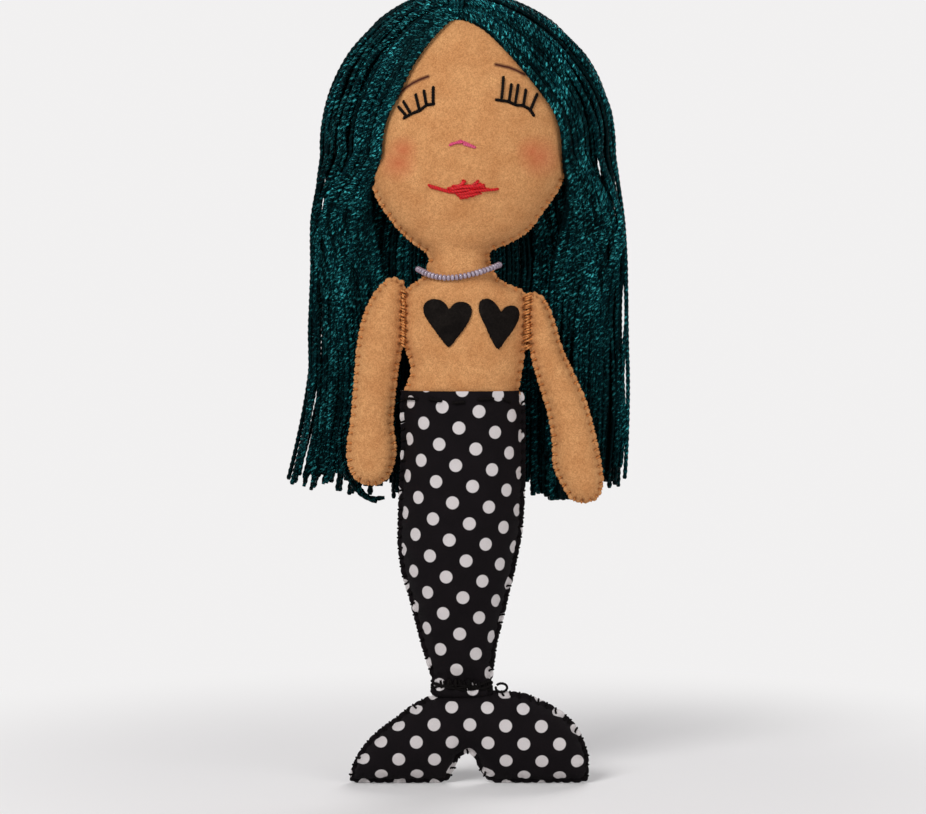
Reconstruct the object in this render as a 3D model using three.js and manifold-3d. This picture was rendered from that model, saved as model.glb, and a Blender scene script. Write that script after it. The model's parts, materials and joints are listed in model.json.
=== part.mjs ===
// A stuffed felt mermaid doll with a cotton tail, yarn hair and a beaded necklace.
// Millimetres. +Z up, the face looks along -Y, Z = 0 is the flat underside of the tail fin.
// Left and right are the doll's own: its left arm is at +X.
import * as THREE from 'three';
import { mergeVertices } from 'three/addons/utils/BufferGeometryUtils.js';
import Module from 'manifold-3d';

const wasm = await Module();
wasm.setup();

// Cloth, thread and the clearances between pieces
const FELT = 1.2;
const COTTON = 0.7;
const FELT_SEAM = 2.0;
const COTTON_SEAM = 1.6;
const CLEARANCE = 0.3;
const THREAD = 1.0;
const EMBROIDERY_THREAD = 0.9;

// Tail fin
const FLUKE_WIDTH = 95.6;
const FLUKE_HEIGHT = 38.4;
const FLUKE_DEPTH = 17;
const FLUKE_X = 3.2;
const NOTCH_HEIGHT = 11.6;
const NOTCH_WIDTH = 15;
const ANKLE_WIDTH = 23.8;
const ANKLE_GAP = 1.8;
const FLUKE_FLAT = 0.5;

// Tail
const TAIL_LENGTH = 117.4;
const TAIL_WIDTH = 50;
const TAIL_DEPTH = 30;
const HEM_WIDTH = 48.4;
const HEM_DEPTH = 26.5;
const TAIL_LEAN = -1.2;
const HEM_TUCK = 8;
const HEM_EASE = 0.9;

// Torso and neck
const TORSO_HEIGHT = 53.4;
const TORSO_WIDTH = 48.4;
const TORSO_DEPTH = 25;
const WAIST_WIDTH = 46.4;
const NECK_WIDTH = 24.8;
const NECK_DEPTH = 17.5;
const TORSO_X = 1.2;
const NECK_X = -1.2;

// Head
const HEAD_WIDTH = 80.8;
const HEAD_HEIGHT = 100.6;
const HEAD_DEPTH = 38;
const HEAD_X = 2.4;

// Arms
const RIGHT_ARM_LENGTH = 83.2;
const LEFT_ARM_LENGTH = 90;
const ARM_WIDTH = 17.2;
const HAND_WIDTH = 19;
const ARM_DEPTH = 12.5;
const LEFT_ARM_SPREAD = 16;
const RIGHT_ARM_SPREAD = 4.4;
const SHOULDER_SEAM_LENGTH = 23;
const SHOULDER_GAP = 0.95;

// Felt hearts and the stitched face
const HEART_WIDTH = 18.6;
const HEART_HEIGHT = 19.4;
const HEART_SPREAD = 19.8;
const HEART_X = 3.8;
const EYE_SPREAD = 39.4;
const EYE_WIDTH = 13.6;
const EYE_LIFT = 59.4;
const LASH_LENGTH = 8.4;
const LID_DROP = 4.6;
const NOSE_LIFT = 45.4;
const NOSE_WIDTH = 10.6;
const LIP_LIFT = 28.4;
const LIP_WIDTH = 28;
const LIP_HEIGHT = 6.6;

// Necklace
const BEAD_DIAMETER = 2.2;
const BEAD_PITCH = 1.55;
const NECKLACE_LIFT = 5.6;
const NECKLACE_DIP = 5.2;

// Hair
const HAIR_SIDE_THICKNESS = 16.5;
const HAIR_BACK_THICKNESS = 6;
const HAIR_TOP_THICKNESS = 4;
const HAIR_LENGTH = 203;
const HAIR_FALL_WIDTH = 129;
const HAIR_FALL_FRONT = 9.5;
const HAIR_FALL_DEPTH = 6;
const HAIR_FALL_THICKNESS = 8;
const HAIR_TIP_FLARE = 3;
const HAIR_FLARE_HEIGHT = 28;
const HAIR_GATHER_HEIGHT = 12;
const PARTING_LENGTH = 18;
const PARTING_WIDTH = 1.9;
const HAIR_LOCKS = 5;
const HAIR_HINGE_DROP = 84.6;
const HAIR_EASE = 1.2;
const PARTING_LOCK_START = 1.4;
const TIP_RAGGEDNESS = 9;

// Heights that follow from the sizes above
const ankleZ = FLUKE_HEIGHT + ANKLE_GAP / 2;
const tailBottom = FLUKE_HEIGHT + ANKLE_GAP;
const hemZ = tailBottom + TAIL_LENGTH;
const neckZ = hemZ + TORSO_HEIGHT;
const crownZ = neckZ + HEAD_HEIGHT;
const shoulderZ = hemZ + 0.76 * TORSO_HEIGHT;
const armpitZ = shoulderZ - SHOULDER_SEAM_LENGTH;
const headMidZ = neckZ + 0.41 * HEAD_HEIGHT;
const hairHingeZ = crownZ - HAIR_HINGE_DROP;
const seamHalfGap = 0.5 * CLEARANCE;

// Colours
const felt = new THREE.MeshStandardMaterial({ color: 0xc48a54, roughness: 0.95, metalness: 0 });
const cotton = new THREE.MeshStandardMaterial({ color: 0x1c1a1c, roughness: 0.85, metalness: 0 });
const stuffing = new THREE.MeshStandardMaterial({ color: 0xf4f1ea, roughness: 1, metalness: 0 });
const yarn = new THREE.MeshStandardMaterial({ color: 0x0a6a6c, roughness: 0.4, metalness: 0 });
const blackFelt = new THREE.MeshStandardMaterial({ color: 0x191716, roughness: 1, metalness: 0 });
const blackThread = new THREE.MeshStandardMaterial({ color: 0x120c08, roughness: 0.6, metalness: 0 });
const seamThread = new THREE.MeshStandardMaterial({ color: 0xcd7832, roughness: 0.6, metalness: 0 });
const lipThread = new THREE.MeshStandardMaterial({ color: 0xc8192d, roughness: 0.5, metalness: 0 });
const noseThread = new THREE.MeshStandardMaterial({ color: 0xe15a82, roughness: 0.5, metalness: 0 });
const glass = new THREE.MeshStandardMaterial({ color: 0x9c8fa0, roughness: 0.15, metalness: 0 });

const doll = new THREE.Group();

function addPiece(name, solid, material) {
  const geometry = solid.isBufferGeometry ? solid : toGeometry(solid);
  const mesh = new THREE.Mesh(geometry, material);
  mesh.name = name;
  doll.add(mesh);
}

// Geometry to solid and back, for the cuts
function toSolid(geometry) {
  const bare = geometry.clone();
  bare.deleteAttribute('normal');
  bare.deleteAttribute('uv');
  const merged = mergeVertices(bare, 1e-4);
  const vertProperties = new Float32Array(merged.attributes.position.array);
  const triVerts = new Uint32Array(merged.index.array);
  return new wasm.Manifold(new wasm.Mesh({ numProp: 3, vertProperties, triVerts }));
}

function toGeometry(solid) {
  const mesh = solid.getMesh();
  const geometry = new THREE.BufferGeometry();
  geometry.setAttribute('position', new THREE.BufferAttribute(mesh.vertProperties, 3));
  geometry.setIndex(new THREE.BufferAttribute(mesh.triVerts, 1));
  geometry.computeVertexNormals();
  return geometry;
}

// A smooth curve through [position, value, ...] rows that never overshoots them
function curveThrough(rows, column) {
  const at = rows.map((row) => row[0]);
  const value = rows.map((row) => row[column]);
  const last = at.length - 1;
  const slope = [];
  for (let i = 0; i < last; i += 1) {
    slope.push((value[i + 1] - value[i]) / (at[i + 1] - at[i]));
  }
  const tangent = [slope[0]];
  for (let i = 1; i < last; i += 1) {
    const turns = slope[i - 1] * slope[i] <= 0;
    tangent.push(turns ? 0 : (2 * slope[i - 1] * slope[i]) / (slope[i - 1] + slope[i]));
  }
  tangent.push(slope[last - 1]);
  return (position) => {
    const clamped = Math.min(Math.max(position, at[0]), at[last]);
    let i = 0;
    while (i < last - 1 && clamped > at[i + 1]) {
      i += 1;
    }
    const span = at[i + 1] - at[i];
    const t = (clamped - at[i]) / span;
    const a = 2 * t ** 3 - 3 * t ** 2 + 1;
    const b = t ** 3 - 2 * t ** 2 + t;
    const c = 3 * t ** 2 - 2 * t ** 3;
    const d = t ** 3 - t ** 2;
    return a * value[i] + b * span * tangent[i] + c * value[i + 1] + d * span * tangent[i + 1];
  };
}

// One closed skin through rings of points, each ring with as many points, in order round the form.
// Its four-sided faces are split along one diagonal or the other, alike where two forms lie close.
function loftRings(rings, { closedLoop = false, otherDiagonal = false } = {}) {
  const perRing = rings[0].length;
  const points = rings.flat();
  const triangles = [];
  const bands = closedLoop ? rings.length : rings.length - 1;
  for (let ring = 0; ring < bands; ring += 1) {
    const above = (ring + 1) % rings.length;
    for (let k = 0; k < perRing; k += 1) {
      const next = (k + 1) % perRing;
      const a = ring * perRing + k;
      const b = ring * perRing + next;
      const c = above * perRing + k;
      const d = above * perRing + next;
      triangles.push(...(otherDiagonal ? [a, b, c, b, d, c] : [a, b, d, a, d, c]));
    }
  }
  if (!closedLoop) {
    const bottom = points.length;
    points.push(ringCentre(rings[0]));
    const top = points.length;
    points.push(ringCentre(rings[rings.length - 1]));
    const start = (rings.length - 1) * perRing;
    for (let k = 0; k < perRing; k += 1) {
      const next = (k + 1) % perRing;
      triangles.push(bottom, next, k);
      triangles.push(top, start + k, start + next);
    }
  }
  const geometry = new THREE.BufferGeometry();
  geometry.setAttribute('position', new THREE.Float32BufferAttribute(points.flat(), 3));
  geometry.setIndex(triangles);
  return geometry;
}

function ringCentre(ring) {
  const sum = ring.reduce((total, point) => total.map((value, axis) => value + point[axis]), [0, 0, 0]);
  return sum.map((value) => value / ring.length);
}

// How far a stuffed panel stands off the seam plane, across its width from -1 to 1
const PANEL_FULLNESS = 0.6;
function puff(across) {
  return Math.max(0, 1 - across ** 2) ** PANEL_FULLNESS;
}

// The ring of a stuffed tube of two panels: a flat seam at each end and a puffed panel between
const PANEL_STEPS = 7;
const ARM_PANEL_STEPS = 5;
function pillowRing(row, seam, cloth, panelSteps) {
  const [z, centre, halfWidth, halfDepth] = row;
  const flat = Math.min(seam, 0.35 * halfWidth);
  const edge = Math.min(cloth + seamHalfGap, 0.9 * halfDepth);
  const inner = halfWidth - flat;
  const ring = [];
  for (const side of [1, -1]) {
    ring.push([centre + side * halfWidth, side * edge, z]);
    for (let k = 0; k <= panelSteps; k += 1) {
      const across = Math.cos((Math.PI * k) / panelSteps);
      const y = edge + (halfDepth - edge) * puff(across);
      ring.push([centre + side * inner * across, side * y, z]);
    }
    ring.push([centre - side * halfWidth, side * edge, z]);
  }
  return ring;
}

// A stuffed form through rows of [z, centre, halfWidth, halfDepth]. Its ends are cut flat, or are
// rounded over the last bottomRound and topRound of its height. An inset form is smaller all round.
const ROUND_STEPS = 5;
const FLAT_END_OVERRUN = 1;
function softForm(rows, { bottomRound = 0, topRound = 0, panelSteps = PANEL_STEPS } = {}) {
  const centre = curveThrough(rows, 1);
  const halfWidth = curveThrough(rows, 2);
  const halfDepth = curveThrough(rows, 3);
  const bottom = rows[0][0];
  const top = rows[rows.length - 1][0];
  const levels = rows.map((entry) => entry[0]);
  const levelsBetween = levels.filter((z) => z > bottom + bottomRound && z < top - topRound);

  function row(z, widthInset, depthInset, scale = 1) {
    const wide = Math.max((halfWidth(z) - widthInset) * scale, 0.4);
    const deep = Math.max((halfDepth(z) - depthInset) * scale, 0.3);
    return [z, centre(z), wide, deep];
  }

  // extend lengthens the flat ends, so that a cavity cuts right through them, or shortens them
  function solid(widthInset, depthInset, seam, cloth, extend = 0) {
    const list = [];
    if (bottomRound > 0) {
      for (let k = 0; k <= ROUND_STEPS; k += 1) {
        const angle = (Math.PI / 2) * (1 - (k + 0.3) / (ROUND_STEPS + 0.3));
        const z = bottom + bottomRound - (bottomRound - widthInset) * Math.sin(angle);
        list.push(row(z, widthInset, depthInset, Math.cos(angle)));
      }
    } else {
      const [, ...rest] = row(bottom, widthInset, depthInset);
      list.push([bottom - extend, ...rest]);
    }
    const lowest = list[list.length - 1][0];
    for (const z of levelsBetween) {
      if (z > lowest + 0.2) {
        list.push(row(z, widthInset, depthInset));
      }
    }
    if (topRound > 0) {
      for (let k = 0; k <= ROUND_STEPS; k += 1) {
        const angle = (Math.PI / 2) * (k / (ROUND_STEPS + 0.3));
        const z = top - topRound + (topRound - widthInset) * Math.sin(angle);
        list.push(row(z, widthInset, depthInset, Math.cos(angle)));
      }
    } else {
      const [, ...rest] = row(top, widthInset, depthInset);
      list.push([top + extend, ...rest]);
    }
    return toSolid(loftRings(list.map((entry) => pillowRing(entry, seam, cloth, panelSteps))));
  }

  // How far the outer skin stands off the seam plane at x, z
  function standOff(x, z, seam, cloth) {
    const intoTop = Math.max(0, z - (top - topRound));
    const scale = Math.sqrt(Math.max(0, 1 - (intoTop / Math.max(topRound, 1)) ** 2));
    const [, middle, wide, deep] = row(z, 0, 0, scale);
    const edge = cloth + seamHalfGap;
    return edge + (deep - edge) * puff((x - middle) / (wide - seam));
  }

  return { bottom, top, centre, halfWidth, solid, standOff };
}

// The half of space in front of (-1) or behind (+1) the seam plane, as a solid to cut with
const FAR = 400;
function halfSpace(side) {
  const box = new THREE.BoxGeometry(2 * FAR, FAR, 4 * FAR);
  box.translate(0, side * (FAR / 2 + seamHalfGap), 0);
  return toSolid(box);
}
const frontHalf = halfSpace(-1);
const backHalf = halfSpace(1);

// Front and back panels of one form, sewn flat along their edges, and the stuffing between them
function sewPanels(name, form, { cloth, seam, material, fillTo = form.top }) {
  const outside = form.solid(0, 0, seam, cloth);
  const inside = form.solid(seam, cloth, 0, 0, FLAT_END_OVERRUN);
  const shell = outside.subtract(inside);
  const above = new THREE.BoxGeometry(2 * FAR, 2 * FAR, FAR);
  above.translate(0, 0, fillTo + FAR / 2);
  const whole = form.solid(seam + CLEARANCE, cloth + CLEARANCE, 0, 0, -CLEARANCE);
  const filling = whole.subtract(toSolid(above));
  addPiece(`${name}_front_${material.cloth}`, shell.intersect(frontHalf), material.skin);
  addPiece(`${name}_back_${material.cloth}`, shell.intersect(backHalf), material.skin);
  addPiece(`${name}_stuffing`, filling, stuffing);
}
const feltSkin = { cloth: 'felt', skin: felt };
const cottonSkin = { cloth: 'cotton', skin: cotton };

// Tail: a tapering tube of cotton, gathered flat where it meets the fin
const hemHalfWidth = HEM_WIDTH / 2;
const pinchedHalfDepth = COTTON + seamHalfGap + 0.25;
const tailForm = softForm(
  [
    [tailBottom, 0, ANKLE_WIDTH / 2, pinchedHalfDepth],
    [tailBottom + 0.015 * TAIL_LENGTH, 0, ANKLE_WIDTH / 2 + 0.1, 0.11 * TAIL_DEPTH],
    [tailBottom + 0.06 * TAIL_LENGTH, 0.3 * TAIL_LEAN, 0.26 * TAIL_WIDTH, 0.24 * TAIL_DEPTH],
    [tailBottom + 0.13 * TAIL_LENGTH, TAIL_LEAN, 0.295 * TAIL_WIDTH, 0.295 * TAIL_DEPTH],
    [tailBottom + 0.205 * TAIL_LENGTH, 1.3 * TAIL_LEAN, 0.345 * TAIL_WIDTH, 0.35 * TAIL_DEPTH],
    [tailBottom + 0.31 * TAIL_LENGTH, TAIL_LEAN, 0.4 * TAIL_WIDTH, 0.42 * TAIL_DEPTH],
    [tailBottom + 0.39 * TAIL_LENGTH, 1.5 * TAIL_LEAN, 0.452 * TAIL_WIDTH, 0.46 * TAIL_DEPTH],
    [tailBottom + 0.48 * TAIL_LENGTH, 1.3 * TAIL_LEAN, 0.488 * TAIL_WIDTH, 0.49 * TAIL_DEPTH],
    [tailBottom + 0.6 * TAIL_LENGTH, 0.6 * TAIL_LEAN, 0.5 * TAIL_WIDTH, 0.5 * TAIL_DEPTH],
    [tailBottom + 0.82 * TAIL_LENGTH, -0.3 * TAIL_LEAN, 0.494 * TAIL_WIDTH, 0.49 * TAIL_DEPTH],
    [hemZ - HEM_TUCK - CLEARANCE, 0, hemHalfWidth + 0.4, HEM_DEPTH / 2 + 0.4],
    [hemZ, 0, hemHalfWidth, HEM_DEPTH / 2],
  ],
);

// Head, neck and torso: one felt front and one felt back, tucked into the tail's hem
const tuckHalfWidth = hemHalfWidth - COTTON_SEAM - HEM_EASE;
const tuckHalfDepth = HEM_DEPTH / 2 - COTTON - CLEARANCE;
const sideHalfWidth = TORSO_WIDTH / 2;
const torsoHalfDepth = TORSO_DEPTH / 2;
const headHalfDepth = HEAD_DEPTH / 2;
function torsoRow(share, centre, halfWidth, halfDepth) {
  return [hemZ + share * TORSO_HEIGHT, centre, halfWidth, halfDepth];
}
function headRow(share, halfWidth, halfDepth) {
  const centre = NECK_X + (HEAD_X - NECK_X) * Math.min(1, share / 0.1);
  return [neckZ + share * HEAD_HEIGHT, centre, halfWidth, halfDepth];
}
const bodyForm = softForm(
  [
    [hemZ - HEM_TUCK, 0, tuckHalfWidth, tuckHalfDepth],
    [hemZ + CLEARANCE, 0, tuckHalfWidth, tuckHalfDepth],
    torsoRow(0.04, 0.3 * TORSO_X, WAIST_WIDTH / 2, tuckHalfDepth + 0.3),
    torsoRow(0.14, TORSO_X, 0.965 * (WAIST_WIDTH / 2), torsoHalfDepth),
    [armpitZ - 2, TORSO_X, sideHalfWidth, torsoHalfDepth],
    [shoulderZ, TORSO_X, sideHalfWidth, 0.8 * torsoHalfDepth],
    torsoRow(0.81, NECK_X, 0.8 * sideHalfWidth, 0.77 * torsoHalfDepth),
    torsoRow(0.86, NECK_X, 0.65 * sideHalfWidth, 0.74 * torsoHalfDepth),
    torsoRow(0.93, NECK_X, 1.04 * (NECK_WIDTH / 2), NECK_DEPTH / 2),
    headRow(0, NECK_WIDTH / 2, NECK_DEPTH / 2),
    headRow(0.03, 1.14 * (NECK_WIDTH / 2), 1.02 * (NECK_DEPTH / 2)),
    headRow(0.06, 0.245 * HEAD_WIDTH, 0.56 * headHalfDepth),
    headRow(0.11, 0.337 * HEAD_WIDTH, 0.68 * headHalfDepth),
    headRow(0.185, 0.407 * HEAD_WIDTH, 0.8 * headHalfDepth),
    headRow(0.26, 0.458 * HEAD_WIDTH, 0.9 * headHalfDepth),
    headRow(0.335, 0.492 * HEAD_WIDTH, 0.97 * headHalfDepth),
    headRow(0.41, 0.5 * HEAD_WIDTH, headHalfDepth),
    headRow(1, 0.5 * HEAD_WIDTH, headHalfDepth),
  ],
  { topRound: crownZ - headMidZ },
);

const tuckBottom = hemZ - HEM_TUCK;
sewPanels('tail', tailForm, {
  cloth: COTTON,
  seam: COTTON_SEAM,
  material: cottonSkin,
  fillTo: tuckBottom - CLEARANCE,
});
sewPanels('body', bodyForm, { cloth: FELT, seam: FELT_SEAM, material: feltSkin });

// Arms: loose at the sides, each held by the whipped seam between its inner edge and the torso's
// side. towards is the arm's outward direction along X.
function armForm(towards, length, spread) {
  const sideX = TORSO_X + towards * (sideHalfWidth + 2 * SHOULDER_GAP);
  const topZ = shoulderZ + 0.055 * length;
  const half = ARM_WIDTH / 2;
  const handHalf = HAND_WIDTH / 2;
  function at(share, inner, halfWidth, halfDepth) {
    return [topZ - share * length, sideX + towards * (inner + halfWidth), halfWidth, halfDepth];
  }
  const deep = ARM_DEPTH / 2;
  const bulge = handHalf - half;
  const rows = [
    at(1, spread - 0.3 * bulge, 0.92 * handHalf, 0.85 * deep),
    at(0.93, 0.8 * spread - 0.9 * bulge, handHalf, 0.88 * deep),
    at(0.82, 0.64 * spread - bulge, 0.98 * handHalf, 0.85 * deep),
    at(0.7, 0.5 * spread, 0.97 * half, 0.86 * deep),
    at(0.55, 0.34 * spread, half, 0.95 * deep),
    at((topZ - armpitZ + 4) / length, 0.06 * spread, half, deep),
    at((topZ - armpitZ) / length, 0, half, deep),
    at(0.17, 0, 0.94 * half, 0.96 * deep),
    at((topZ - shoulderZ) / length, 0, 0.84 * half, 0.85 * deep),
    at(0, 1.2, 0.72 * half, 0.75 * deep),
  ];
  return softForm(rows, {
    bottomRound: 0.8 * handHalf,
    topRound: topZ - shoulderZ,
    panelSteps: ARM_PANEL_STEPS,
  });
}
const rightArmForm = armForm(-1, RIGHT_ARM_LENGTH, RIGHT_ARM_SPREAD);
const leftArmForm = armForm(1, LEFT_ARM_LENGTH, LEFT_ARM_SPREAD);
sewPanels('right_arm', rightArmForm, { cloth: FELT, seam: FELT_SEAM, material: feltSkin });
sewPanels('left_arm', leftArmForm, { cloth: FELT, seam: FELT_SEAM, material: feltSkin });

// Tail fin: two rounded lobes, lofted from tip to tip, with a notch below between them.
// rise is the top edge and cut the bottom edge, as shares of the fin's height and the notch's.
const flukeHalf = FLUKE_WIDTH / 2;
const FLUKE_RISE = [
  [0, 1],
  [0.24, 1],
  [0.31, 0.955],
  [0.43, 0.88],
  [0.57, 0.79],
  [0.71, 0.68],
  [0.84, 0.54],
  [0.94, 0.37],
  [1, 0.14],
];
const FLUKE_STATIONS = [0, 0.05, 0.1, 0.157, 0.25, 0.38, 0.52, 0.66, 0.8, 0.9, 0.97];
const FLUKE_PANEL_STEPS = 6;
function flukeSolid(inset, cloth, seam, edgeCloth) {
  const rise = curveThrough(FLUKE_RISE, 1);
  const reach = flukeHalf - inset;
  const sides = [...FLUKE_STATIONS].reverse().map((share) => -share);
  const stations = sides.concat(FLUKE_STATIONS.slice(1));
  const rings = stations.map((share) => {
    const out = Math.abs(share);
    const notch = Math.max(0, 1 - (out * flukeHalf) / (NOTCH_WIDTH / 2)) ** 0.8;
    const bottom = -FLUKE_FLAT + notch * (NOTCH_HEIGHT + FLUKE_FLAT) + inset;
    const top = Math.max(rise(out) * FLUKE_HEIGHT - inset, bottom + 0.8);
    const middle = (top + bottom) / 2;
    const half = (top - bottom) / 2;
    const tip = Math.sqrt(Math.max(0.02, 1 - Math.max(0, (out - 0.55) / 0.45) ** 2));
    const waist = 0.72 + 0.28 * Math.sin(Math.min(1, out / 0.5) * (Math.PI / 2));
    const halfDepth = Math.max((FLUKE_DEPTH / 2) * tip * waist - cloth, 0.4);
    const flat = Math.min(seam, 0.35 * half);
    const edge = Math.min(edgeCloth + seamHalfGap, 0.9 * halfDepth);
    const ring = [];
    for (const side of [1, -1]) {
      const x = FLUKE_X + share * reach;
      if (side > 0) {
        ring.push([x, edge, middle + half]);
      }
      for (let k = 0; k <= FLUKE_PANEL_STEPS; k += 1) {
        const across = side * Math.cos((Math.PI * k) / FLUKE_PANEL_STEPS);
        const z = across > 0 ? middle + (half - flat) * across : middle + half * across;
        ring.push([x, side * (edge + (halfDepth - edge) * puff(across)), z]);
      }
      if (side < 0) {
        ring.push([x, -edge, middle + half]);
      }
    }
    return ring.reverse();
  });
  const solid = toSolid(loftRings(rings));
  const floor = new THREE.BoxGeometry(2 * FAR, 2 * FAR, FAR);
  floor.translate(0, 0, -FAR / 2);
  return solid.subtract(toSolid(floor));
}
const flukeSkin = flukeSolid(0, 0, COTTON_SEAM, COTTON);
const flukeHollow = flukeSolid(COTTON_SEAM, COTTON, 0, 0);
const flukeFill = flukeSolid(COTTON_SEAM + CLEARANCE, COTTON + CLEARANCE, 0, 0);
const flukeShell = flukeSkin.subtract(flukeHollow);
addPiece('fluke_front_cotton', flukeShell.intersect(frontHalf), cotton);
addPiece('fluke_back_cotton', flukeShell.intersect(backHalf), cotton);
addPiece('fluke_stuffing', flukeFill, stuffing);

// Seam threads in the gaps that the moving pieces fold at: a rod that swells at each stitch
const STITCH_PITCH = 2.9;
function seamThreadRod(length, thickness) {
  const stitches = Math.max(3, Math.round(length / STITCH_PITCH));
  const profile = [new THREE.Vector2(0, 0)];
  for (let k = 0; k <= 2 * stitches; k += 1) {
    const radius = (thickness / 2) * (k % 2 === 0 ? 0.7 : 1);
    profile.push(new THREE.Vector2(radius, (length * k) / (2 * stitches)));
  }
  profile.push(new THREE.Vector2(0, length));
  const rod = new THREE.LatheGeometry(profile, 6);
  rod.rotateX(Math.PI / 2);
  return toSolid(rod);
}

for (const [name, towards] of [['left', 1], ['right', -1]]) {
  const rod = seamThreadRod(SHOULDER_SEAM_LENGTH, THREAD);
  const x = TORSO_X + towards * (sideHalfWidth + SHOULDER_GAP);
  addPiece(`${name}_shoulder_seam_thread`, rod.translate([x, 0, armpitZ]), seamThread);
}
const ankleRod = seamThreadRod(ANKLE_WIDTH - 2 * CLEARANCE, THREAD);
const ankleStart = [-(ANKLE_WIDTH / 2 - CLEARANCE), 0, ankleZ];
addPiece('ankle_seam_thread', ankleRod.rotate([0, 90, 0]).translate(ankleStart), blackThread);

// Patches that lie on the front of the body: a closed outline of [x, z] filled in rings
const PATCH_RINGS = 3;
function patchOnFront(outline, thickness) {
  const centreX = outline.reduce((sum, point) => sum + point[0], 0) / outline.length;
  const centreZ = outline.reduce((sum, point) => sum + point[1], 0) / outline.length;
  const count = outline.length;
  function at(x, z, lift) {
    const y = bodyForm.standOff(x, z, FELT_SEAM, FELT) + CLEARANCE + lift;
    return [x, -y, z];
  }
  const points = [];
  const layers = [];
  for (const lift of [thickness, 0]) {
    const layer = { centre: points.length, rings: [] };
    points.push(at(centreX, centreZ, lift));
    for (let ring = 1; ring <= PATCH_RINGS; ring += 1) {
      layer.rings.push(points.length);
      for (const [x, z] of outline) {
        const share = ring / PATCH_RINGS;
        points.push(at(centreX + (x - centreX) * share, centreZ + (z - centreZ) * share, lift));
      }
    }
    layers.push(layer);
  }
  const triangles = [];
  function face(a, b, c, flip) {
    triangles.push(...(flip ? [a, c, b] : [a, b, c]));
  }
  layers.forEach((layer, index) => {
    const flip = index === 1;
    for (let k = 0; k < count; k += 1) {
      const next = (k + 1) % count;
      face(layer.centre, layer.rings[0] + k, layer.rings[0] + next, flip);
      for (let ring = 0; ring < PATCH_RINGS - 1; ring += 1) {
        const inner = layer.rings[ring];
        const outer = layer.rings[ring + 1];
        face(inner + k, outer + k, outer + next, flip);
        face(inner + k, outer + next, inner + next, flip);
      }
    }
  });
  const frontRim = layers[0].rings[PATCH_RINGS - 1];
  const backRim = layers[1].rings[PATCH_RINGS - 1];
  for (let k = 0; k < count; k += 1) {
    const next = (k + 1) % count;
    triangles.push(frontRim + k, backRim + k, backRim + next, frontRim + k, backRim + next, frontRim + next);
  }
  const geometry = new THREE.BufferGeometry();
  geometry.setAttribute('position', new THREE.Float32BufferAttribute(points.flat(), 3));
  geometry.setIndex(triangles);
  return toSolid(geometry);
}

// Felt hearts, side by side on the chest
const HEART_POINTS = 24;
const HEART_CENTRE_SHARE = 0.51;
function heartOutline(centreX, centreZ) {
  const turned = bodyForm.standOff(centreX + 1, centreZ, FELT_SEAM, FELT)
    - bodyForm.standOff(centreX - 1, centreZ, FELT_SEAM, FELT);
  const seenWidth = HEART_WIDTH * Math.cos(Math.atan(turned / 2));
  const outline = [];
  for (let k = 0; k < HEART_POINTS; k += 1) {
    const t = (2 * Math.PI * (k + 0.5)) / HEART_POINTS;
    const across = Math.sin(t) ** 3;
    const up = (13 * Math.cos(t) - 5 * Math.cos(2 * t) - 2 * Math.cos(3 * t) - Math.cos(4 * t)) / 29;
    outline.push([centreX - (across * seenWidth) / 2, centreZ + (up + 0.09) * HEART_HEIGHT]);
  }
  return outline;
}
const heartZ = hemZ + HEART_CENTRE_SHARE * TORSO_HEIGHT;
for (const [name, towards] of [['left', 1], ['right', -1]]) {
  const outline = heartOutline(HEART_X + (towards * HEART_SPREAD) / 2, heartZ);
  addPiece(`${name}_heart_felt`, patchOnFront(outline, FELT), blackFelt);
}

// Embroidery: thread that lies on the front of the face along [x, z] points
const THREAD_SIDES = 5;
function threadOnFront(line, thickness) {
  const radius = thickness / 2;
  const rings = line.map(([x, z], index) => {
    const before = line[Math.max(0, index - 1)];
    const after = line[Math.min(line.length - 1, index + 1)];
    const run = Math.hypot(after[0] - before[0], after[1] - before[1]);
    const alongX = (after[0] - before[0]) / run;
    const alongZ = (after[1] - before[1]) / run;
    const y = -(bodyForm.standOff(x, z, FELT_SEAM, FELT) + CLEARANCE + radius);
    const ring = [];
    for (let k = 0; k < THREAD_SIDES; k += 1) {
      const angle = (2 * Math.PI * k) / THREAD_SIDES;
      const aside = radius * Math.cos(angle);
      const out = radius * Math.sin(angle);
      ring.push([x - aside * alongZ, y - out, z + aside * alongX]);
    }
    return ring;
  });
  return toSolid(loftRings(rings));
}

// Closed eyes: a drooping lid line with five upright lashes
const LASHES = 5;
const LID_STEPS = 6;
for (const [name, towards] of [['left', 1], ['right', -1]]) {
  const eyeX = HEAD_X + towards * (EYE_SPREAD / 2);
  const eyeZ = neckZ + EYE_LIFT;
  const lidAt = (share) => [
    eyeX + towards * (share - 0.5) * EYE_WIDTH,
    eyeZ - LID_DROP * share ** 1.4,
  ];
  const lid = [];
  for (let k = 0; k <= LID_STEPS; k += 1) {
    lid.push(lidAt(k / LID_STEPS));
  }
  let eye = threadOnFront(lid, EMBROIDERY_THREAD);
  for (let k = 0; k < LASHES; k += 1) {
    const share = 0.06 + (0.88 * k) / (LASHES - 1);
    const [x, z] = lidAt(share);
    const splay = towards * (share - 0.35) * 2.6;
    const length = LASH_LENGTH * (1 - 0.35 * share);
    const lash = [0, 0.5, 1].map((part) => [x + splay * part, z + length * part]);
    eye = eye.add(threadOnFront(lash, EMBROIDERY_THREAD));
  }
  addPiece(`${name}_eye_embroidery`, eye, blackThread);
}

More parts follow.
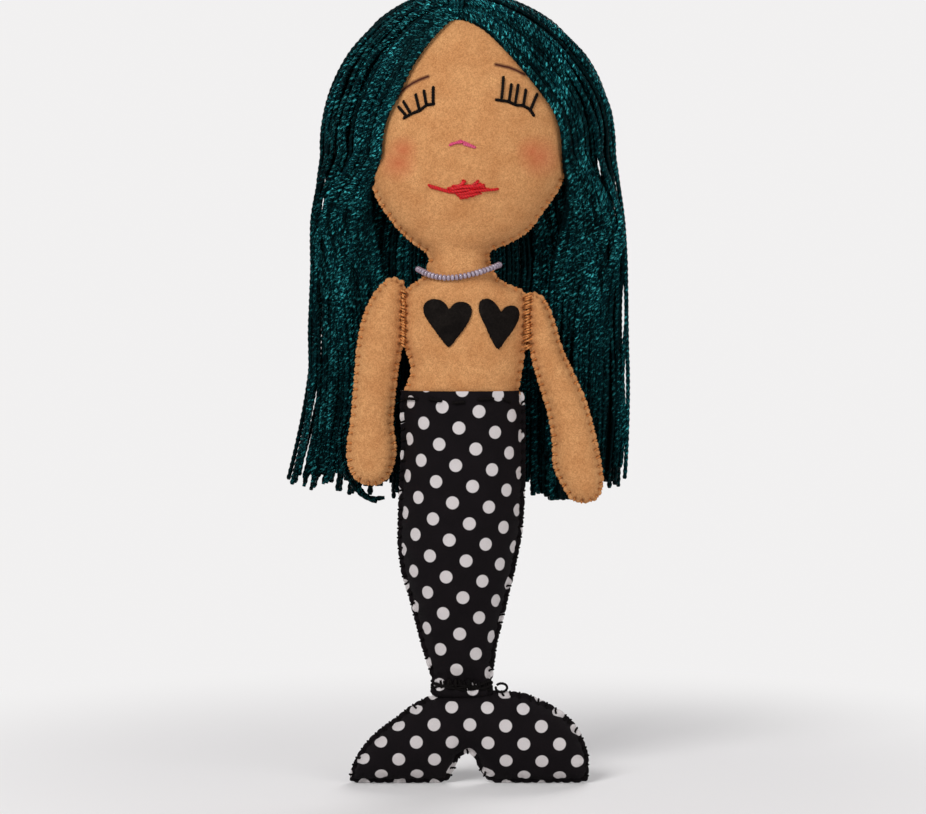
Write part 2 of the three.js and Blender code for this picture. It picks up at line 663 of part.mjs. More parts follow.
// Nose: two stitches that meet in a low peak. Lips: a bow of satin stitches.
const noseZ = neckZ + NOSE_LIFT;
const noseLine = [
  [HEAD_X - NOSE_WIDTH * 0.55, noseZ - 0.9],
  [HEAD_X - NOSE_WIDTH * 0.1, noseZ + 0.9],
  [HEAD_X + NOSE_WIDTH * 0.45, noseZ - 1.5],
];
addPiece('nose_stitches', threadOnFront(noseLine, 1.3 * EMBROIDERY_THREAD), noseThread);

const lipZ = neckZ + LIP_LIFT;
const LIP_BOW = [
  [-0.5, 0.2],
  [-0.3, 0.05],
  [-0.14, 0.3],
  [-0.03, 0.42],
  [0.05, 0.34],
  [0.13, 0.42],
  [0.3, 0.12],
  [0.5, 0.0],
  [0.3, -0.3],
  [0.14, -0.5],
  [-0.02, -0.58],
  [-0.16, -0.42],
  [-0.3, -0.2],
];
const lips = LIP_BOW.map(([x, z]) => [HEAD_X - 0.6 + x * LIP_WIDTH, lipZ + z * LIP_HEIGHT]).reverse();
addPiece('lip_embroidery', patchOnFront(lips, EMBROIDERY_THREAD), lipThread);

// Necklace: beads on one thread round the foot of the neck, dipping at the front
const BEAD_SIDES = 6;
const beadRadius = BEAD_DIAMETER / 2;
const necklaceZ = neckZ - NECKLACE_LIFT + 1.2;
const necklaceHalf = bodyForm.halfWidth(necklaceZ - beadRadius) + beadRadius + CLEARANCE;
const necklaceDeep = bodyForm.standOff(NECK_X, necklaceZ, FELT_SEAM, FELT) + beadRadius + CLEARANCE;
function necklaceAt(turn) {
  const angle = 2 * Math.PI * turn;
  const front = Math.max(0, Math.sin(angle));
  const back = Math.max(0, -Math.sin(angle));
  const x = NECK_X + necklaceHalf * Math.cos(angle);
  const z = necklaceZ - NECKLACE_DIP * front ** 1.5 + 0.8 * back;
  const felted = Math.abs(x - NECK_X) < bodyForm.halfWidth(z);
  const clear = felted ? bodyForm.standOff(x, z, FELT_SEAM, FELT) + beadRadius + CLEARANCE : 0;
  const y = Math.max(necklaceDeep * Math.abs(Math.sin(angle)), clear);
  return new THREE.Vector3(x, angle < Math.PI ? -y : y, z);
}
const NECKLACE_SAMPLES = 120;
const necklacePoints = [];
for (let k = 0; k < NECKLACE_SAMPLES; k += 1) {
  necklacePoints.push(necklaceAt(k / NECKLACE_SAMPLES));
}
const necklacePath = new THREE.CatmullRomCurve3(necklacePoints, true);
necklacePath.arcLengthDivisions = 800;
const beads = Math.round(necklacePath.getLength() / BEAD_PITCH);
const beadProfile = [[0, 0.42], [0.22, 1], [0.78, 1]];
const necklaceRings = [];
for (let bead = 0; bead < beads; bead += 1) {
  for (const [share, size] of beadProfile) {
    const at = (bead + share) / beads;
    const centre = necklacePath.getPointAt(at);
    const along = necklacePath.getTangentAt(at);
    const outward = new THREE.Vector3(centre.x - NECK_X, centre.y, 0).normalize();
    const across = new THREE.Vector3().crossVectors(along, outward).normalize();
    const out = new THREE.Vector3().crossVectors(across, along).normalize();
    const ring = [];
    for (let k = 0; k < BEAD_SIDES; k += 1) {
      const angle = (2 * Math.PI * k) / BEAD_SIDES;
      const point = centre.clone();
      point.addScaledVector(out, beadRadius * size * Math.cos(angle));
      point.addScaledVector(across, beadRadius * size * Math.sin(angle));
      ring.push([point.x, point.y, point.z]);
    }
    necklaceRings.push(ring);
  }
}
addPiece('bead_necklace', toSolid(loftRings(necklaceRings, { closedLoop: true })), glass);

// Hair: yarn sewn down along a parting over the crown, combed over the head and hanging behind the
// shoulders. strandAt follows one strand: side is 1 or -1, around runs from the front edge (0) to
// the middle of the back (1), and out from the innermost yarn (0) to the outermost (1).
const hairInside = {
  x: HEAD_WIDTH / 2 + HAIR_EASE,
  y: headHalfDepth + HAIR_EASE,
  z: crownZ - headMidZ + 2 * CLEARANCE,
};
const hairOutside = {
  x: hairInside.x + HAIR_SIDE_THICKNESS,
  y: hairInside.y + HAIR_BACK_THICKNESS,
  z: hairInside.z + HAIR_TOP_THICKNESS,
};
const FRONT_START = 75;
const RADIANS = Math.PI / 180;
function between(from, to, share) {
  return from + (to - from) * share;
}

// Over the head, from the parting (down = 0) to the head's widest level (down = 1)
function overHead(side, around, out, down) {
  const reach = Math.sin((down * Math.PI) / 2);
  const outer = {
    x: between(hairInside.x, hairOutside.x, out),
    y: between(hairInside.y, hairOutside.y, out),
    z: between(hairInside.z, hairOutside.z, out),
  };
  const frontAngle = -FRONT_START * (1 - reach ** 1.6) ** 0.6;
  const angle = between(frontAngle, 90, around) * RADIANS;
  const x = between(PARTING_LOCK_START, outer.x, reach) * Math.cos(angle);
  const y = between(PARTING_LENGTH / 2, outer.y, reach) * Math.sin(angle);
  const height = Math.sqrt(Math.max(0, 1 - (x / outer.x) ** 2 - (y / outer.y) ** 2));
  return [HEAD_X + side * (PARTING_WIDTH / 2 + x), y, headMidZ + outer.z * height];
}

// Below it the yarn moves back behind the shoulders into one flat fall. Each row has its height,
// inner and outer x, inner and outer y, the shift back, the front edge's angle and the squareness.
const fallHalf = HAIR_FALL_WIDTH / 2;
const fallInner = HAIR_FALL_FRONT + HAIR_FALL_DEPTH;
const fallOuter = fallInner + HAIR_FALL_THICKNESS;
const hairTipZ = crownZ - HAIR_LENGTH + HAIR_TOP_THICKNESS;
const gatherTopZ = headMidZ - HAIR_GATHER_HEIGHT;
const gatherFootZ = hairHingeZ - HAIR_GATHER_HEIGHT;
const flareTopZ = hairTipZ + HAIR_FLARE_HEIGHT;
const gatherInner = between(hairInside.y, fallInner, 0.55);
const HAIR_ROWS = [
  [headMidZ, hairInside.x, hairOutside.x, hairInside.y, hairOutside.y, 0, 0, 2],
  [gatherTopZ, hairInside.x - 1, hairOutside.x + 1.5, hairInside.y, hairOutside.y, 1, 3, 2.1],
  [hairHingeZ, hairInside.x - 1, fallHalf - 2.5, hairInside.y, hairOutside.y, 4, 5, 2.3],
  [gatherFootZ, hairInside.x + 2, fallHalf - 1.5, gatherInner, fallOuter + 1, 7, 5, 2.6],
  [neckZ - 6, 0.77 * fallHalf, fallHalf - 1, fallInner, fallOuter, HAIR_FALL_FRONT, 4, 3],
  [armpitZ, 0.82 * fallHalf, fallHalf, fallInner, fallOuter, HAIR_FALL_FRONT, 3, 3],
  [flareTopZ, 0.84 * fallHalf, fallHalf + HAIR_TIP_FLARE / 2, fallInner, fallOuter, HAIR_FALL_FRONT, 3, 3],
  [hairTipZ, 0.86 * fallHalf, fallHalf + HAIR_TIP_FLARE, fallInner, fallOuter, HAIR_FALL_FRONT, 3, 3],
].reverse();
const hairColumn = [1, 2, 3, 4, 5, 6, 7].map((column) => curveThrough(HAIR_ROWS, column));
function below(side, around, out, z) {
  const [insideX, outsideX, insideY, outsideY, shift, front, power] = hairColumn.map((curve) => curve(z));
  const angle = between(front, 90, around) * RADIANS;
  const wide = between(insideX, outsideX, out);
  const deep = between(insideY, outsideY, out) - shift;
  const x = wide * Math.abs(Math.cos(angle)) ** (2 / power);
  const y = shift + deep * Math.sign(Math.sin(angle)) * Math.abs(Math.sin(angle)) ** (2 / power);
  return [HEAD_X + side * (PARTING_WIDTH / 2 + x), y, z];
}

// One lock is a bundle of yarn between two strands, fuller in the middle of its outer face
const LOCK_GAP = 0.012;
const LOCK_INNER_POINTS = 3;
const LOCK_OUTER_POINTS = 4;
const LOCK_EDGE = 0.78;
function lockRing(side, index, strand, slim = 0) {
  const from = (index + 0.5 * slim) / HAIR_LOCKS + LOCK_GAP;
  const to = (index + 1 - 0.5 * slim) / HAIR_LOCKS - LOCK_GAP;
  const ring = [];
  for (let k = 0; k < LOCK_OUTER_POINTS; k += 1) {
    const share = k / (LOCK_OUTER_POINTS - 1);
    const out = 1 - (1 - LOCK_EDGE) * (2 * share - 1) ** 2;
    ring.push(strand(side, between(from, to, share), out - 0.3 * slim));
  }
  for (let k = 0; k < LOCK_INNER_POINTS; k += 1) {
    const share = 1 - k / (LOCK_INNER_POINTS - 1);
    ring.push(strand(side, between(from, to, share), 0.3 * slim));
  }
  return side > 0 ? ring : ring.reverse();
}

const CAP_STEPS = 9;
const FALL_LEVELS = 8;
const capFoot = hairHingeZ + CLEARANCE;
const fallTop = hairHingeZ - CLEARANCE;
const raggedTop = hairTipZ + 1.8 * TIP_RAGGEDNESS;
for (const [name, side] of [['left', 1], ['right', -1]]) {
  for (let index = 0; index < HAIR_LOCKS; index += 1) {
    const capRings = [];
    for (const z of [capFoot, between(capFoot, headMidZ, 0.5)]) {
      capRings.push(lockRing(side, index, (...place) => below(...place, z)));
    }
    for (let k = CAP_STEPS; k >= 0; k -= 1) {
      capRings.push(lockRing(side, index, (...place) => overHead(...place, k / CAP_STEPS)));
    }
    const split = { otherDiagonal: index % 2 === 1 };
    addPiece(`${name}_hair_over_head_${index + 1}`, toSolid(loftRings(capRings, split)), yarn);

    const tipZ = hairTipZ + TIP_RAGGEDNESS * (0.5 + 0.5 * Math.sin(2.3 * index + side));
    const fallRings = [lockRing(side, index, (...place) => below(...place, tipZ), 0.5)];
    for (let k = 0; k <= FALL_LEVELS; k += 1) {
      const z = between(fallTop, raggedTop, (1 - k / FALL_LEVELS) ** 2);
      fallRings.push(lockRing(side, index, (...place) => below(...place, z)));
    }
    addPiece(`${name}_hair_fall_${index + 1}`, toSolid(loftRings(fallRings, split)), yarn);
  }
}

// The stitches that hold the yarn down along the parting, in the gap between the two sides
const partingLine = [];
const PARTING_STITCHES = 7;
const PARTING_STITCH_SIDES = 6;
for (let k = 0; k <= 2 * PARTING_STITCHES; k += 1) {
  const y = (PARTING_LENGTH / 2) * (k / PARTING_STITCHES - 1) * 0.9;
  const height = Math.sqrt(1 - (y / hairInside.y) ** 2);
  const size = k % 2 === 0 ? 0.7 : 1;
  partingLine.push({ y, z: headMidZ + hairInside.z * height + THREAD / 2, size });
}
const partingRings = partingLine.map(({ y, z, size }) => {
  const ring = [];
  for (let k = 0; k < PARTING_STITCH_SIDES; k += 1) {
    const angle = (2 * Math.PI * k) / PARTING_STITCH_SIDES;
    const radius = (THREAD / 2) * size;
    ring.push([HEAD_X - radius * Math.cos(angle), y, z + radius * Math.sin(angle)]);
  }
  return ring;
});
addPiece('parting_stitches', toSolid(loftRings(partingRings)), yarn);

// The origin is on the floor under the middle of the whole doll
const bounds = new THREE.Box3().setFromObject(doll);
const middle = bounds.getCenter(new THREE.Vector3());
doll.position.set(-middle.x, -middle.y, -bounds.min.z);

export default doll;
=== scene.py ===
# %% [markdown]
# # A hand-sewn felt mermaid doll
# The doll is about 316 mm tall: tan felt above, a tail in dotted black cotton below, and long
# teal yarn hair. Every stuffed form is two flat pieces of cloth sewn together round the edge
# and filled. The rigid frame comes first. It says where each moving part sits, and every new
# piece follows it.

import json
import math
import random

import bpy
import numpy as np
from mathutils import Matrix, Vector
from mathutils.bvhtree import BVHTree

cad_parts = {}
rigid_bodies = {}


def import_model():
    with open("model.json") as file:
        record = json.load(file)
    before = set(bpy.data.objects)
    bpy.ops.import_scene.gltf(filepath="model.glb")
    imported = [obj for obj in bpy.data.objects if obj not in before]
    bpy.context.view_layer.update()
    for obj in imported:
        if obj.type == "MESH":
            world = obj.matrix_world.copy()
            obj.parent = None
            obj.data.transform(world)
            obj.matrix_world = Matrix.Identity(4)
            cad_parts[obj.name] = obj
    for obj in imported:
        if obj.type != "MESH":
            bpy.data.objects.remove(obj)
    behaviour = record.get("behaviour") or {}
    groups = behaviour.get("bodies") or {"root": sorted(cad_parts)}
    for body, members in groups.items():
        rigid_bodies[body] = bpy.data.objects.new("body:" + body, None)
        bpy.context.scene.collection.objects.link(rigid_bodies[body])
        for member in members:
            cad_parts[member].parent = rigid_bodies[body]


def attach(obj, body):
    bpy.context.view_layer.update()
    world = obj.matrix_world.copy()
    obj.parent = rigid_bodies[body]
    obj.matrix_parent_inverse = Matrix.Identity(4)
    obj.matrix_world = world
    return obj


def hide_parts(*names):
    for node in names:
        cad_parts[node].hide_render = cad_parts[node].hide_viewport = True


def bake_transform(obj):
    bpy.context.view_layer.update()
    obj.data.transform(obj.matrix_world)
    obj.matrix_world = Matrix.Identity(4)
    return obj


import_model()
bpy.ops.object.select_all(action="DESELECT")
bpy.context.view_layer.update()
MM = 0.001
SEAM_Y = -2.79  # the plane in which front and back are sewn together, mm

# %% [markdown]
# The camera looks at the doll straight on, a little from above, with a long lens. It comes
# first, because every later look at the work goes through it. One pixel of the picture is 0.4
# mm at the doll, so the view is 370 mm wide.

# %% Camera
VIEW_WIDTH = 370.4
VIEW_CENTRE = Vector((-2.0, SEAM_Y, 151.2)) * MM
PICTURE_WIDTH, PICTURE_HEIGHT = 926, 814
DISTANCE = 1.0
TILT = math.radians(2.0)
SENSOR = 36
bpy.ops.object.camera_add(
    location=VIEW_CENTRE + Vector((0, -math.cos(TILT), math.sin(TILT))) * DISTANCE,
    rotation=(math.pi / 2 - TILT, 0, 0),
)
camera = bpy.context.object
camera.name = "camera"
camera.data.sensor_width = SENSOR
camera.data.lens = SENSOR * DISTANCE / (VIEW_WIDTH * MM)
bpy.context.scene.camera = camera
print("lens", round(camera.data.lens, 1), "mm")

# %% [markdown]
# Colours are written as they are read in a picture, from 0 to 255, and turned into the linear
# values that shaders use.

# %% Colours
def tone(red, green, blue):
    def linear(c):
        c /= 255
        return c / 12.92 if c <= 0.04045 else ((c + 0.055) / 1.055) ** 2.4

    return (linear(red), linear(green), linear(blue), 1)


print("mid grey is", round(tone(128, 128, 128)[0], 3), "to a shader")

# %% [markdown]
# Materials, shader effects and the world are all node graphs. By hand one adds nodes and draws
# the links between their sockets. This helper does both in one call, so that each look below
# reads as a short sum.

# %% Node graphs
class Graph:
    """A node graph under construction. A value is a number, or a socket that gets joined."""

    def __init__(self, tree):
        self.nodes, self.links = tree.nodes, tree.links

    def feed(self, socket, value):
        if isinstance(value, bpy.types.NodeSocket):
            self.links.new(value, socket)
        else:
            socket.default_value = value

    def add(self, kind, *values, **settings):
        """A new node. values fill its inputs in order, settings go by name."""
        node = self.nodes.new("ShaderNode" + kind)
        for key, value in settings.items():
            if hasattr(node, key):
                setattr(node, key, value)
            else:
                self.feed(node.inputs[key.replace("_", " ")], value)
        for socket, value in zip(node.inputs, values):
            self.feed(socket, value)
        return node

    def math(self, operation, *values):
        return self.add("Math", *values, operation=operation).outputs[0]

    def vector(self, operation, *values, **settings):
        node = self.add("VectorMath", *values, operation=operation, **settings)
        return node.outputs["Value" if operation in ("DOT_PRODUCT", "LENGTH") else "Vector"]

    def span(self, source, *ends, **settings):
        """Maps one span of numbers to another. ends: from low, from high, to low, to high."""
        return self.add("MapRange", source, *ends, **settings).outputs[0]

    def clamp(self, source):
        return self.add("Clamp", source).outputs[0]

    def noise(self, place, scale, detail=2.0, distortion=0.0):
        node = self.add("TexNoise", Vector=place, Scale=scale, Detail=detail, Distortion=distortion)
        return node.outputs["Fac"]

    def blend(self, amount, first, second, **settings):
        """Mixes two colours by amount."""
        node = self.add("Mix", data_type="RGBA", **settings)
        for number, value in ((0, amount), (6, first), (7, second)):
            self.feed(node.inputs[number], value)
        return node.outputs[2]

    def place(self):
        return self.add("TexCoord").outputs["Object"]

    def measure(self, name):
        """What the mesh carries under this name."""
        return self.add("Attribute", attribute_name=name).outputs["Fac"]

    def seen_directly(self):
        """1 for what is looked at, mirrored or looked through, and 0 for rays that carry light."""
        rays = self.add("LightPath").outputs
        looked_at = self.math("MAXIMUM", rays["Is Camera Ray"], rays["Is Transmission Ray"])
        return self.math("MAXIMUM", looked_at, rays["Is Glossy Ray"])


print("node helper ready")

# %% [markdown]
# A finish is one material, built round a Principled shader. An effect that several materials
# share, such as felt fibres or printed dots, is a node group with named sockets.

# %% Materials and shader effects
class Finish(Graph):
    """A material under construction."""

    def __init__(self, name, roughness, sheen=0.0, specular=0.5):
        self.material = bpy.data.materials.new(name)
        self.material.use_nodes = True
        super().__init__(self.material.node_tree)
        self.shader = self.nodes["Principled BSDF"]
        self.set(Roughness=roughness, Sheen_Weight=sheen, Specular_IOR_Level=specular)

    def set(self, **values):
        for key, value in values.items():
            self.feed(self.shader.inputs[key.replace("_", " ")], value)

    def bump(self, height, distance, strength):
        node = self.add("Bump", Height=height, Distance=distance, Strength=strength)
        self.set(Normal=node.outputs[0])


class Effect(Graph):
    """A node group under construction. takes and gives say the kind of each named socket."""

    def __init__(self, name, takes, gives):
        self.group = bpy.data.node_groups.new(name, "ShaderNodeTree")
        super().__init__(self.group)
        for way, sockets in (("INPUT", takes), ("OUTPUT", gives)):
            for socket_name, kind in sockets.items():
                self.group.interface.new_socket(
                    name=socket_name, in_out=way, socket_type="NodeSocket" + kind
                )
        self.taken = self.nodes.new("NodeGroupInput").outputs
        self.given = self.nodes.new("NodeGroupOutput").inputs

    def give(self, **values):
        for key, value in values.items():
            self.feed(self.given[key], value)
        print("group", self.group.name, "has", len(self.nodes), "nodes")


print("material helpers ready")

# %% [markdown]
# Light: one large soft lamp up and to the left does the modelling, a second one opposite lifts
# the shadows, and a pale world fills the rest. The camera sees a plain white backdrop, because
# the world shows a flat pale colour to camera, glossy and transmission rays only.

# %% Lamps and world
def soft_lamp(name, place, size, power):
    bpy.ops.object.light_add(type="AREA", location=place)
    lamp = bpy.context.object
    lamp.name = name
    lamp.data.size = size
    lamp.data.energy = power
    lamp.rotation_euler = (VIEW_CENTRE - Vector(place)).to_track_quat("-Z", "Y").to_euler()


soft_lamp("key_lamp", (-0.55, -0.85, 0.85), 0.5, 9.6)
soft_lamp("fill_lamp", (0.8, -0.7, 0.35), 0.8, 3.4)
soft_lamp("rim_lamp", (0.3, 0.8, 0.8), 0.6, 4.5)

BACKDROP = dict(Color=(0.93, 0.92, 0.92, 1), Strength=0.95)
world = bpy.data.worlds.new("plain_studio")
bpy.context.scene.world = world
world.use_nodes = True
sky = Graph(world.node_tree)
plain = sky.nodes["Background"]
plain.inputs["Color"].default_value = (0.9, 0.9, 0.92, 1)
plain.inputs["Strength"].default_value = 0.3
backdrop = sky.add("Background", **BACKDROP)
mixed = sky.add("MixShader", sky.seen_directly(), plain.outputs[0], backdrop.outputs[0])
sky.links.new(mixed.outputs[0], sky.nodes["World Output"].inputs["Surface"])
bpy.context.scene.view_settings.view_transform = "Standard"
print("three lamps and a plain world")

# %% [markdown]
# Felt has no weave. Its surface is a mat of tangled fibres, seen as fine light and dark flecks
# that run every way, with a soft cloudiness under them. Both felts on the doll use the same
# effect, so it is a node group: a coordinate goes in, and a fleck mask, a cloud mask and a
# height come out.

# %% Felt fibre group
fibres = Effect(
    "felt_fibres", {"Place": "Vector", "Fleck Scale": "Float"},
    {"Fleck": "Float", "Cloud": "Float", "Height": "Float"},
)
fibre_place = fibres.taken["Place"]
fleck = fibres.noise(fibre_place, fibres.taken["Fleck Scale"], 3, 1.6)
clump = fibres.noise(fibre_place, 620, 2, 0.8)
fibres.give(
    Fleck=fleck, Cloud=fibres.noise(fibre_place, 130, 4),
    Height=fibres.math("MULTIPLY_ADD", clump, 0.6, fleck),
)

# %% [markdown]
# The tan felt is warm brown with lighter flecks. Where the whipstitches bite, painted shade makes
# small dark reddish holes, and a little painted shade lies along the seam edge; the mesh carries
# both as a vertex attribute.

# %% Felt materials
def felt_finish(name, base, light, deep, fleck_scale, sheen, specular):
    """The material under construction, and its colour socket."""
    finish = Finish(name, roughness=0.92, sheen=sheen, specular=specular)
    finish.set(Sheen_Tint=light, Sheen_Roughness=0.5)
    fibre = finish.add(
        "Group", node_tree=fibres.group, Place=finish.place(), Fleck_Scale=fleck_scale
    ).outputs
    flecks = finish.span(fibre["Fleck"], 0.41, 0.59, 0.0, 1.0)
    clouds = finish.span(fibre["Cloud"], 0.3, 0.7, 0.0, 0.5)
    darker = finish.math("MULTIPLY", finish.math("SUBTRACT", 1.0, flecks), 0.46)
    colour = finish.blend(darker, finish.blend(clouds, base, light), deep)
    finish.bump(fibre["Height"], 0.00035, 0.75)
    return finish, colour


tan_felt, tan_colour = felt_finish(
    "tan_felt", tone(198, 139, 88), tone(230, 176, 120), tone(142, 86, 46), 1150, 0.18, 0.1
)
# painted shade on the felt: dark reddish holes at the stitches, and a faint darkening along the
# seam edge
tan_seam_shaded = tan_felt.blend(tan_felt.measure("PaintedSeamShade"), tan_colour, tone(134, 74, 36))
black_felt, black_colour = felt_finish(
    "black_felt", tone(17, 14, 13), tone(40, 35, 32), tone(4, 3, 3), 1000, 0.03, 0.04
)
black_felt.set(Base_Color=black_colour)
print("felts:", tan_felt.material.name, black_felt.material.name)

# %% [markdown]
# A stuffed form starts as its flat outline, like the paper pattern. A few points give the
# shape, a smooth line is drawn through them, and its length, direction and inward side are
# kept, because the stitches are counted along it.

# %% The pattern outline
def smooth_line(points, steps=10, closed=False):
    """A smooth line through points, a Catmull-Rom spline."""
    points = np.asarray(points, float)
    count = len(points)

    def pick(i):
        return points[i % count] if closed else points[min(max(i, 0), count - 1)]

    line = []
    for i in range(count if closed else count - 1):
        a, b, c, d = pick(i - 1), pick(i), pick(i + 1), pick(i + 2)
        for t in np.linspace(0, 1, steps, endpoint=False):
            bend = 2 * a - 5 * b + 4 * c - d
            line.append(0.5 * (2 * b + (c - a) * t + bend * t**2 + (3 * b - a - 3 * c + d) * t**3))
    if not closed:
        line.append(points[-1])
    return np.array(line)


class Outline:
    """A closed line in the seam plane, anticlockwise as the camera sees it, in mm."""

    def __init__(self, line):
        self.line = np.asarray(line, float)
        steps = np.roll(self.line, -1, axis=0) - self.line
        self.length_at = np.concatenate([[0], np.cumsum(np.linalg.norm(steps, axis=1))])
        self.length = self.length_at[-1]

    def at(self, s):
        """The point at length s along the line, and the unit direction that points inwards."""
        ring = np.vstack([self.line, self.line[:1]])
        before, point, after = (
            np.array([np.interp(x % self.length, self.length_at, ring[:, k]) for k in (0, 1)])
            for x in (s - 0.8, s, s + 0.8)
        )
        along = (after - before) / max(np.linalg.norm(after - before), 1e-9)
        return point, np.array([-along[1], along[0]])

    def nearest(self, places):
        """For each place: how far it is from the line, and at which length along it."""
        a = self.line
        ab = np.roll(a, -1, axis=0) - a
        far = np.full(len(places), 1e9)
        where = np.zeros(len(places))
        for i in range(len(a)):
            span = ab[i] @ ab[i]
            t = np.clip(((places - a[i]) @ ab[i]) / max(span, 1e-12), 0, 1)
            d = np.linalg.norm(places - (a[i] + t[:, None] * ab[i]), axis=1)
            closer = d < far
            far[closer] = d[closer]
            where[closer] = self.length_at[i] + t[closer] * math.sqrt(span)
        return far, where


def stitch_marks(length, pitch, seed):
    """Where hand stitches fall along a seam: evenly, but never quite."""
    rng = random.Random(seed)
    count = max(3, round(length / pitch))
    return [(k + 0.5 + rng.uniform(-0.16, 0.16)) * length / count for k in range(count)]


print("outline helper ready")

# %% [markdown]
# The two cloths leave the seam as a thin flat rim and swell towards the middle. A pillow could
# come from a cloth simulation with pressure. Here the swell is shaped straight in mesh code,
# because the doll's firm filling gives a known round form, and each puckered stitch has to sit
# exactly under its thread. Each stitch pulls the edge in and pinches the rim, and the cloth
# bulges between stitches.

# %% The stuffed form
PUCKER_WIDTH = 0.24  # how far a stitch draws the cloth, as a share of the pitch
FULLNESS = 0.56  # the lower, the fuller the swell is near the seam
# how far these reach in mm: a stitch's pull at the edge, the painted shade of its hole, the painted
# shade along the edge
PULL_REACH, HOLE_WIDTH, EDGE_SHADE = 1.6, 0.45, 0.8


def stuffed(low_side, high_side, depth, stations, seam, across, sideways=False):
    """Rings of a padded form. low_side and high_side are chains of (along, across) in mm, depth is
    (along, half thickness) rows, and stations are the places along where the cross-sections sit.
    seam gives rim, flange, bite, pitch, pinch, pull, reach and seed. sideways: along X, not Z."""
    low_side, high_side, depth = (np.asarray(x, float) for x in (low_side, high_side, depth))
    low = np.interp(stations, low_side[:, 0], low_side[:, 1])
    high = np.interp(stations, high_side[:, 0], high_side[:, 1])
    thick = np.interp(stations, depth[:, 0], depth[:, 1])
    turn = np.linspace(0, math.pi, across + 1)
    middle, half = (low + high) / 2, (high - low) / 2
    grid_along = np.repeat(np.asarray(stations)[:, None], across + 1, axis=1)
    grid_across = middle[:, None] - half[:, None] * np.cos(turn)[None, :]
    flat = np.stack([grid_along, grid_across], axis=-1).reshape(-1, 2)
    chain = np.vstack([high_side, low_side[::-1]])
    chain = chain[np.linalg.norm(chain - np.roll(chain, 1, axis=0), axis=1) > 1e-6]
    if sideways:
        outline = Outline(chain[::-1])
    else:
        outline = Outline(chain[:, ::-1])
        flat = flat[:, ::-1]
    marks = np.array(stitch_marks(outline.length, seam["pitch"], seam["seed"]))
    far, where = outline.nearest(flat)
    gap = np.abs(where[:, None] - marks[None, :])
    gap = np.minimum(gap, outline.length - gap).min(axis=1)
    at_stitch = np.exp(-((gap / (PUCKER_WIDTH * seam["pitch"])) ** 2))
    rim, flange = seam["rim"], seam["flange"]
    edge = rim * np.sqrt(np.clip(1 - (1 - np.clip(far / rim, 0, 1)) ** 2, 0, 1))
    row_far = (half[:, None] * (1 - np.abs(np.cos(turn))[None, :])).reshape(-1)
    inside_flange = row_far * np.clip(1 - flange / np.maximum(far, 1e-6), 0, 1)
    inside_flange = inside_flange.reshape(len(stations), -1)
    widest = np.maximum(inside_flange.max(axis=1, keepdims=True), 1e-6)
    from_middle = 1 - inside_flange / widest
    crown = np.clip(1 - from_middle**2, 0, 1) ** FULLNESS * np.maximum(thick - rim, 0)[:, None]
    height = edge + crown.reshape(-1)
    pinched = at_stitch * np.exp(-((np.maximum(far - seam["bite"], 0) / seam["reach"]) ** 2))
    height -= seam["pinch"] * pinched * np.clip(far / 0.6, 0, 1)
    height = np.maximum(height, 0.4 * edge)
    pulled = np.exp(-((far / PULL_REACH) ** 2))
    shift = (seam["pull"] * (at_stitch - 0.4) * pulled)[:, None]
    inward = np.array([outline.at(s)[1] for s in np.linspace(0, outline.length, 400)])
    slot_of = np.clip((where / outline.length * 399).astype(int), 0, 399)
    flat = flat + inward[slot_of] * shift
    # painted shade for the felt's colour: dark at each stitch hole, faint along the whole edge
    painted_hole_shade = at_stitch**3 * np.exp(-(((far - seam["bite"]) / HOLE_WIDTH) ** 2))
    shade = np.clip(0.9 * painted_hole_shade + 0.1 * np.exp(-((far / EDGE_SHADE) ** 2)), 0, 1)
    front, back = (
        np.stack([flat[:, 0], SEAM_Y + y, flat[:, 1], shade], axis=-1).reshape(len(stations), -1, 4)
        for y in (-height, height)
    )
    ring = np.concatenate([front, back[:, -2:0:-1]], axis=1)
    return ring[..., :3], ring[..., 3], outline, marks


print("stuffing helper ready")

# %% [markdown]
# The stuffed forms, the threads and the beads all come out as rings of points. Faces join each ring
# to the next, the ends are closed, and doubles at the poles are merged. What the material needs to
# know of the cloth, such as the painted shade at its stitches, goes along as an attribute.

# %% From rings to meshes
def tube_faces(index, close=(True, True)):
    """The faces between rings of points. index has each point's number, one row for each ring."""
    ahead = np.roll(index, -1, axis=1)
    faces = np.stack([index[:-1], ahead[:-1], ahead[1:], index[1:]], axis=-1)
    faces = faces.reshape(-1, 4).tolist()
    if close[0]:
        faces.append(index[0, ::-1].tolist())
    if close[1]:
        faces.append(index[-1].tolist())
    return faces


def new_piece(name, points, faces, material, measures):
    """A smooth mesh object from points in mm. measures: what it carries for its material."""
    mesh = bpy.data.meshes.new(name)
    mesh.from_pydata((points * MM).tolist(), [], faces)
    for measure, values in measures.items():
        attribute = mesh.attributes.new(measure, "FLOAT", "POINT")
        attribute.data.foreach_set("value", values.astype(np.float32))
    mesh.polygons.foreach_set("use_smooth", np.ones(len(mesh.polygons), bool))
    mesh.materials.append(material)
    piece = bpy.data.objects.new(name, mesh)
    bpy.context.collection.objects.link(piece)
    return piece


